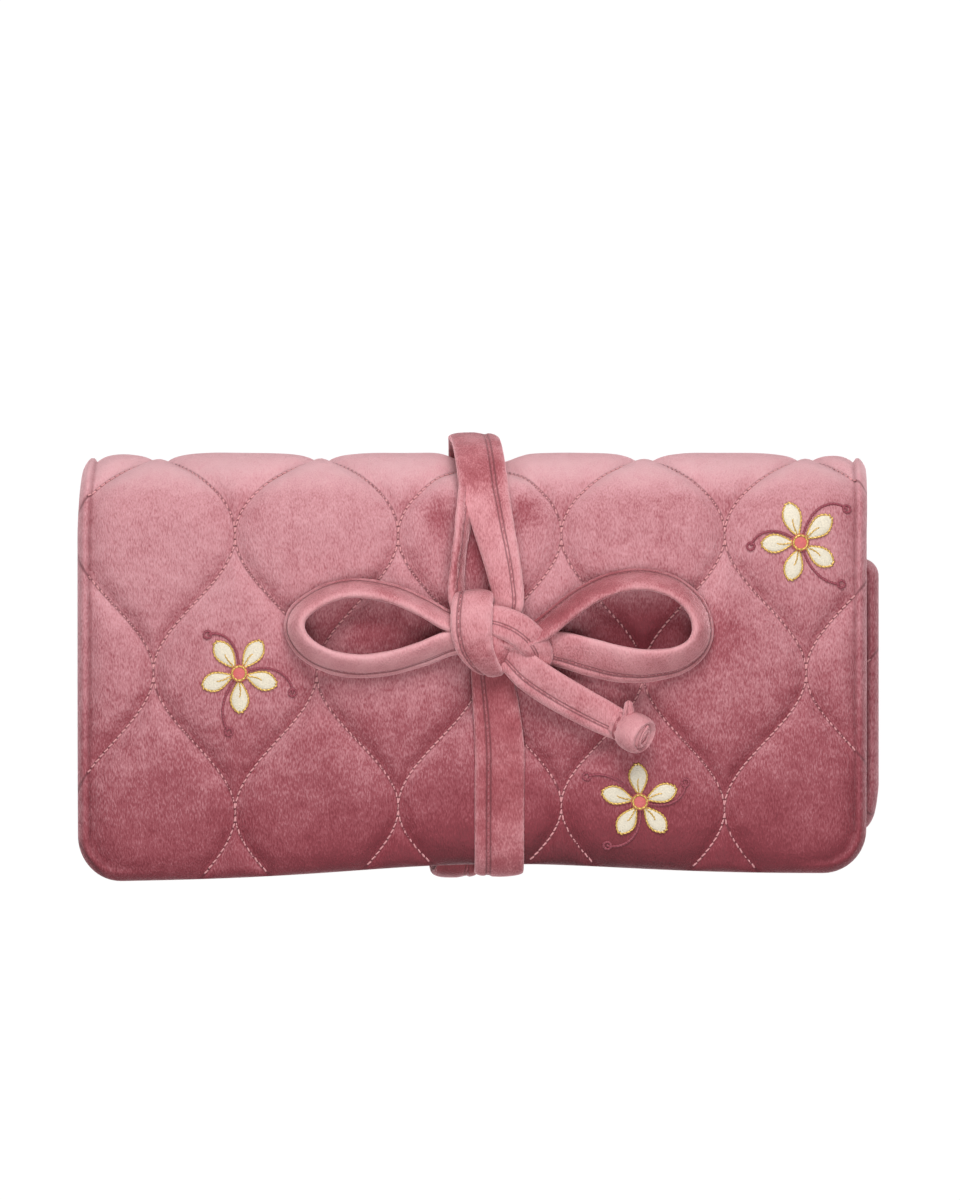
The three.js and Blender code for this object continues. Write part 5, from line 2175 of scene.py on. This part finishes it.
@dataclass
class Studio:
    """A pale floor, soft light from the spine's side, and the camera straight above."""

    pixel: float = 0.2525
    frame_height: int = 1200
    aim: tuple[float, float] = (0.5, 17.0)
    level: float = 36.0
    distance: float = 1200.0
    sensor: float = 36.0
    room_light: float = 0.13
    floor_level: float = -0.4
    floor_half: float = 3000.0
    floor_whiteness: float = 0.93

    def build(self) -> None:
        """Sets the camera, the lights and the floor."""
        scene = bpy.context.scene
        scene.view_settings.view_transform = "Standard"
        lens = bpy.data.cameras.new("camera")
        lens.sensor_width = self.sensor
        lens.lens = self.sensor * self.distance / (self.pixel * self.frame_height)
        camera = bpy.data.objects.new("camera", lens)
        camera.location = (self.aim[0] * MM, self.aim[1] * MM, (self.level + self.distance) * MM)
        scene.collection.objects.link(camera)
        scene.camera = camera
        self.lamp("key", (0.02, 0.42, 0.44), 0.3, 2.8)
        self.lamp("fill", (0.02, -0.27, 0.76), 0.55, 4.1)
        world = bpy.data.worlds.new("room")
        world.use_nodes = True
        background = world.node_tree.nodes["Background"]
        background.inputs[0].default_value = (*WHITE, 1.0)
        background.inputs[1].default_value = self.room_light
        scene.world = world
        self.floor()

    def lamp(self, name: str, place: Point, size: float, power: float) -> None:
        """Adds a square soft light that faces the roll.

        Args:
            name: its name.
            place: where it stands, in metres.
            size: its side, in metres.
            power: its power, in watts.
        """
        light = bpy.data.lights.new(name, "AREA")
        light.size = size
        light.energy = power
        lamp = bpy.data.objects.new(name, light)
        x, y, z = place
        lamp.location = place
        lamp.rotation_euler = (math.atan2(math.hypot(x, y), z), 0.0, math.atan2(x, -y))
        bpy.context.scene.collection.objects.link(lamp)

    def floor(self) -> None:
        """Adds the floor: white to the camera, with part of the roll's shadow kept."""
        graph = Graph("floor_paper")
        graph.dress(base_color=scaled(WHITE, 0.9), roughness=0.9)
        glow = graph.node("ShaderNodeEmission", None, {"Color": WHITE, "Strength": 1.05})
        rays = graph.node("ShaderNodeLightPath")
        seen = Value(graph, rays.outputs["Is Camera Ray"]) + Value(graph, rays.outputs["Is Glossy Ray"])
        share = (self.floor_whiteness * seen).held(0.0, self.floor_whiteness)
        shaders = {0: share, 1: graph.surface.outputs[0], 2: glow.outputs[0]}
        mix = graph.node("ShaderNodeMixShader", None, shaders)
        graph.feed(graph.tree.nodes["Material Output"].inputs["Surface"], mix.outputs[0])
        sides = self.floor_half * np.array([[-1, -1], [1, -1], [1, 1], [-1, 1]])
        corners = np.column_stack([sides, np.full(4, self.floor_level)])
        make_piece("floor", [(Shape(corners, [(0, 1, 2, 3)]), graph.material)])


def main() -> None:
    """Builds the scene round the frame."""
    logging.basicConfig(level=logging.INFO, format="%(message)s")
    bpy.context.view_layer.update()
    rose: Colour = (0.37, 0.082, 0.108)
    cloth = Fabric()
    Studio().build()
    # The tie's velvet is a paler copy of the cover's rose: painted light, for its pile catching more light.
    pale_rose: Colour = (0.45, 0.123, 0.146)
    cover_velvet = Velvet("cover_velvet", rose, Seam.QUILTED, cloth=cloth).material()
    tie_velvet = Velvet("tie_velvet", pale_rose, Seam.BAND, 1.0, 0.18, (110.0, 0.9)).material()
    bar_velvet = Velvet("ring_bar_velvet", rose).material()
    thread = Thread("rose_thread", (0.66, 0.3, 0.315), hole_shade=(0.12, 0.012, 0.02)).material()
    tie_thread = Thread("tie_thread", (0.4, 0.12, 0.14), hole_shade=(0.1, 0.01, 0.016)).material()
    satin = Weave("lining_satin", (0.66, 0.4, 0.39), roughness=0.42, sheen=0.2).material()
    pocket_cloth = Weave("pocket_cloth", (0.6, 0.33, 0.33), 0.6, 0.55).material()
    tape = Weave("zip_tape", (0.4, 0.17, 0.19), 0.8, 0.75, 0.1).material()
    gilt = Gilt("gilt_metal").material()
    threads = {
        "petal": Thread("cream_thread", (0.72, 0.65, 0.52), 0.35).material(),
        "gilt": Thread("gilt_thread", (0.72, 0.47, 0.13), 0.3, 0.6).material(),
        "stem": Thread("dark_rose_thread", (0.3, 0.06, 0.085), 0.4).material(),
        "centre": Thread("coral_thread", (0.62, 0.13, 0.13), 0.4).material(),
    }
    Tie(cloth, tie_velvet, tie_thread).build()
    cover = QuiltedCover(cloth)
    cover.build(cover_velvet, thread)
    Lining(cloth).build(satin)
    ZipPocket("back", Body.BACK, Facing.UP, pocket_cloth, tape, thread, gilt).build()
    ZipPocket("lower", Body.LOWER, Facing.DOWN, pocket_cloth, tape, thread, gilt).build()
    RingBar(bar_velvet, satin, thread, gilt).build()
    places = (((81.4, 31.5), 20.0), ((-60.3, -1.5), -35.0), ((40.9, -34.5), 220.0))
    for number, (centre, turn) in enumerate(places, 1):
        Sprig(cover, centre, turn).build(f"embroidered_sprig_{number}", threads)


if __name__ == "__main__":
    main()
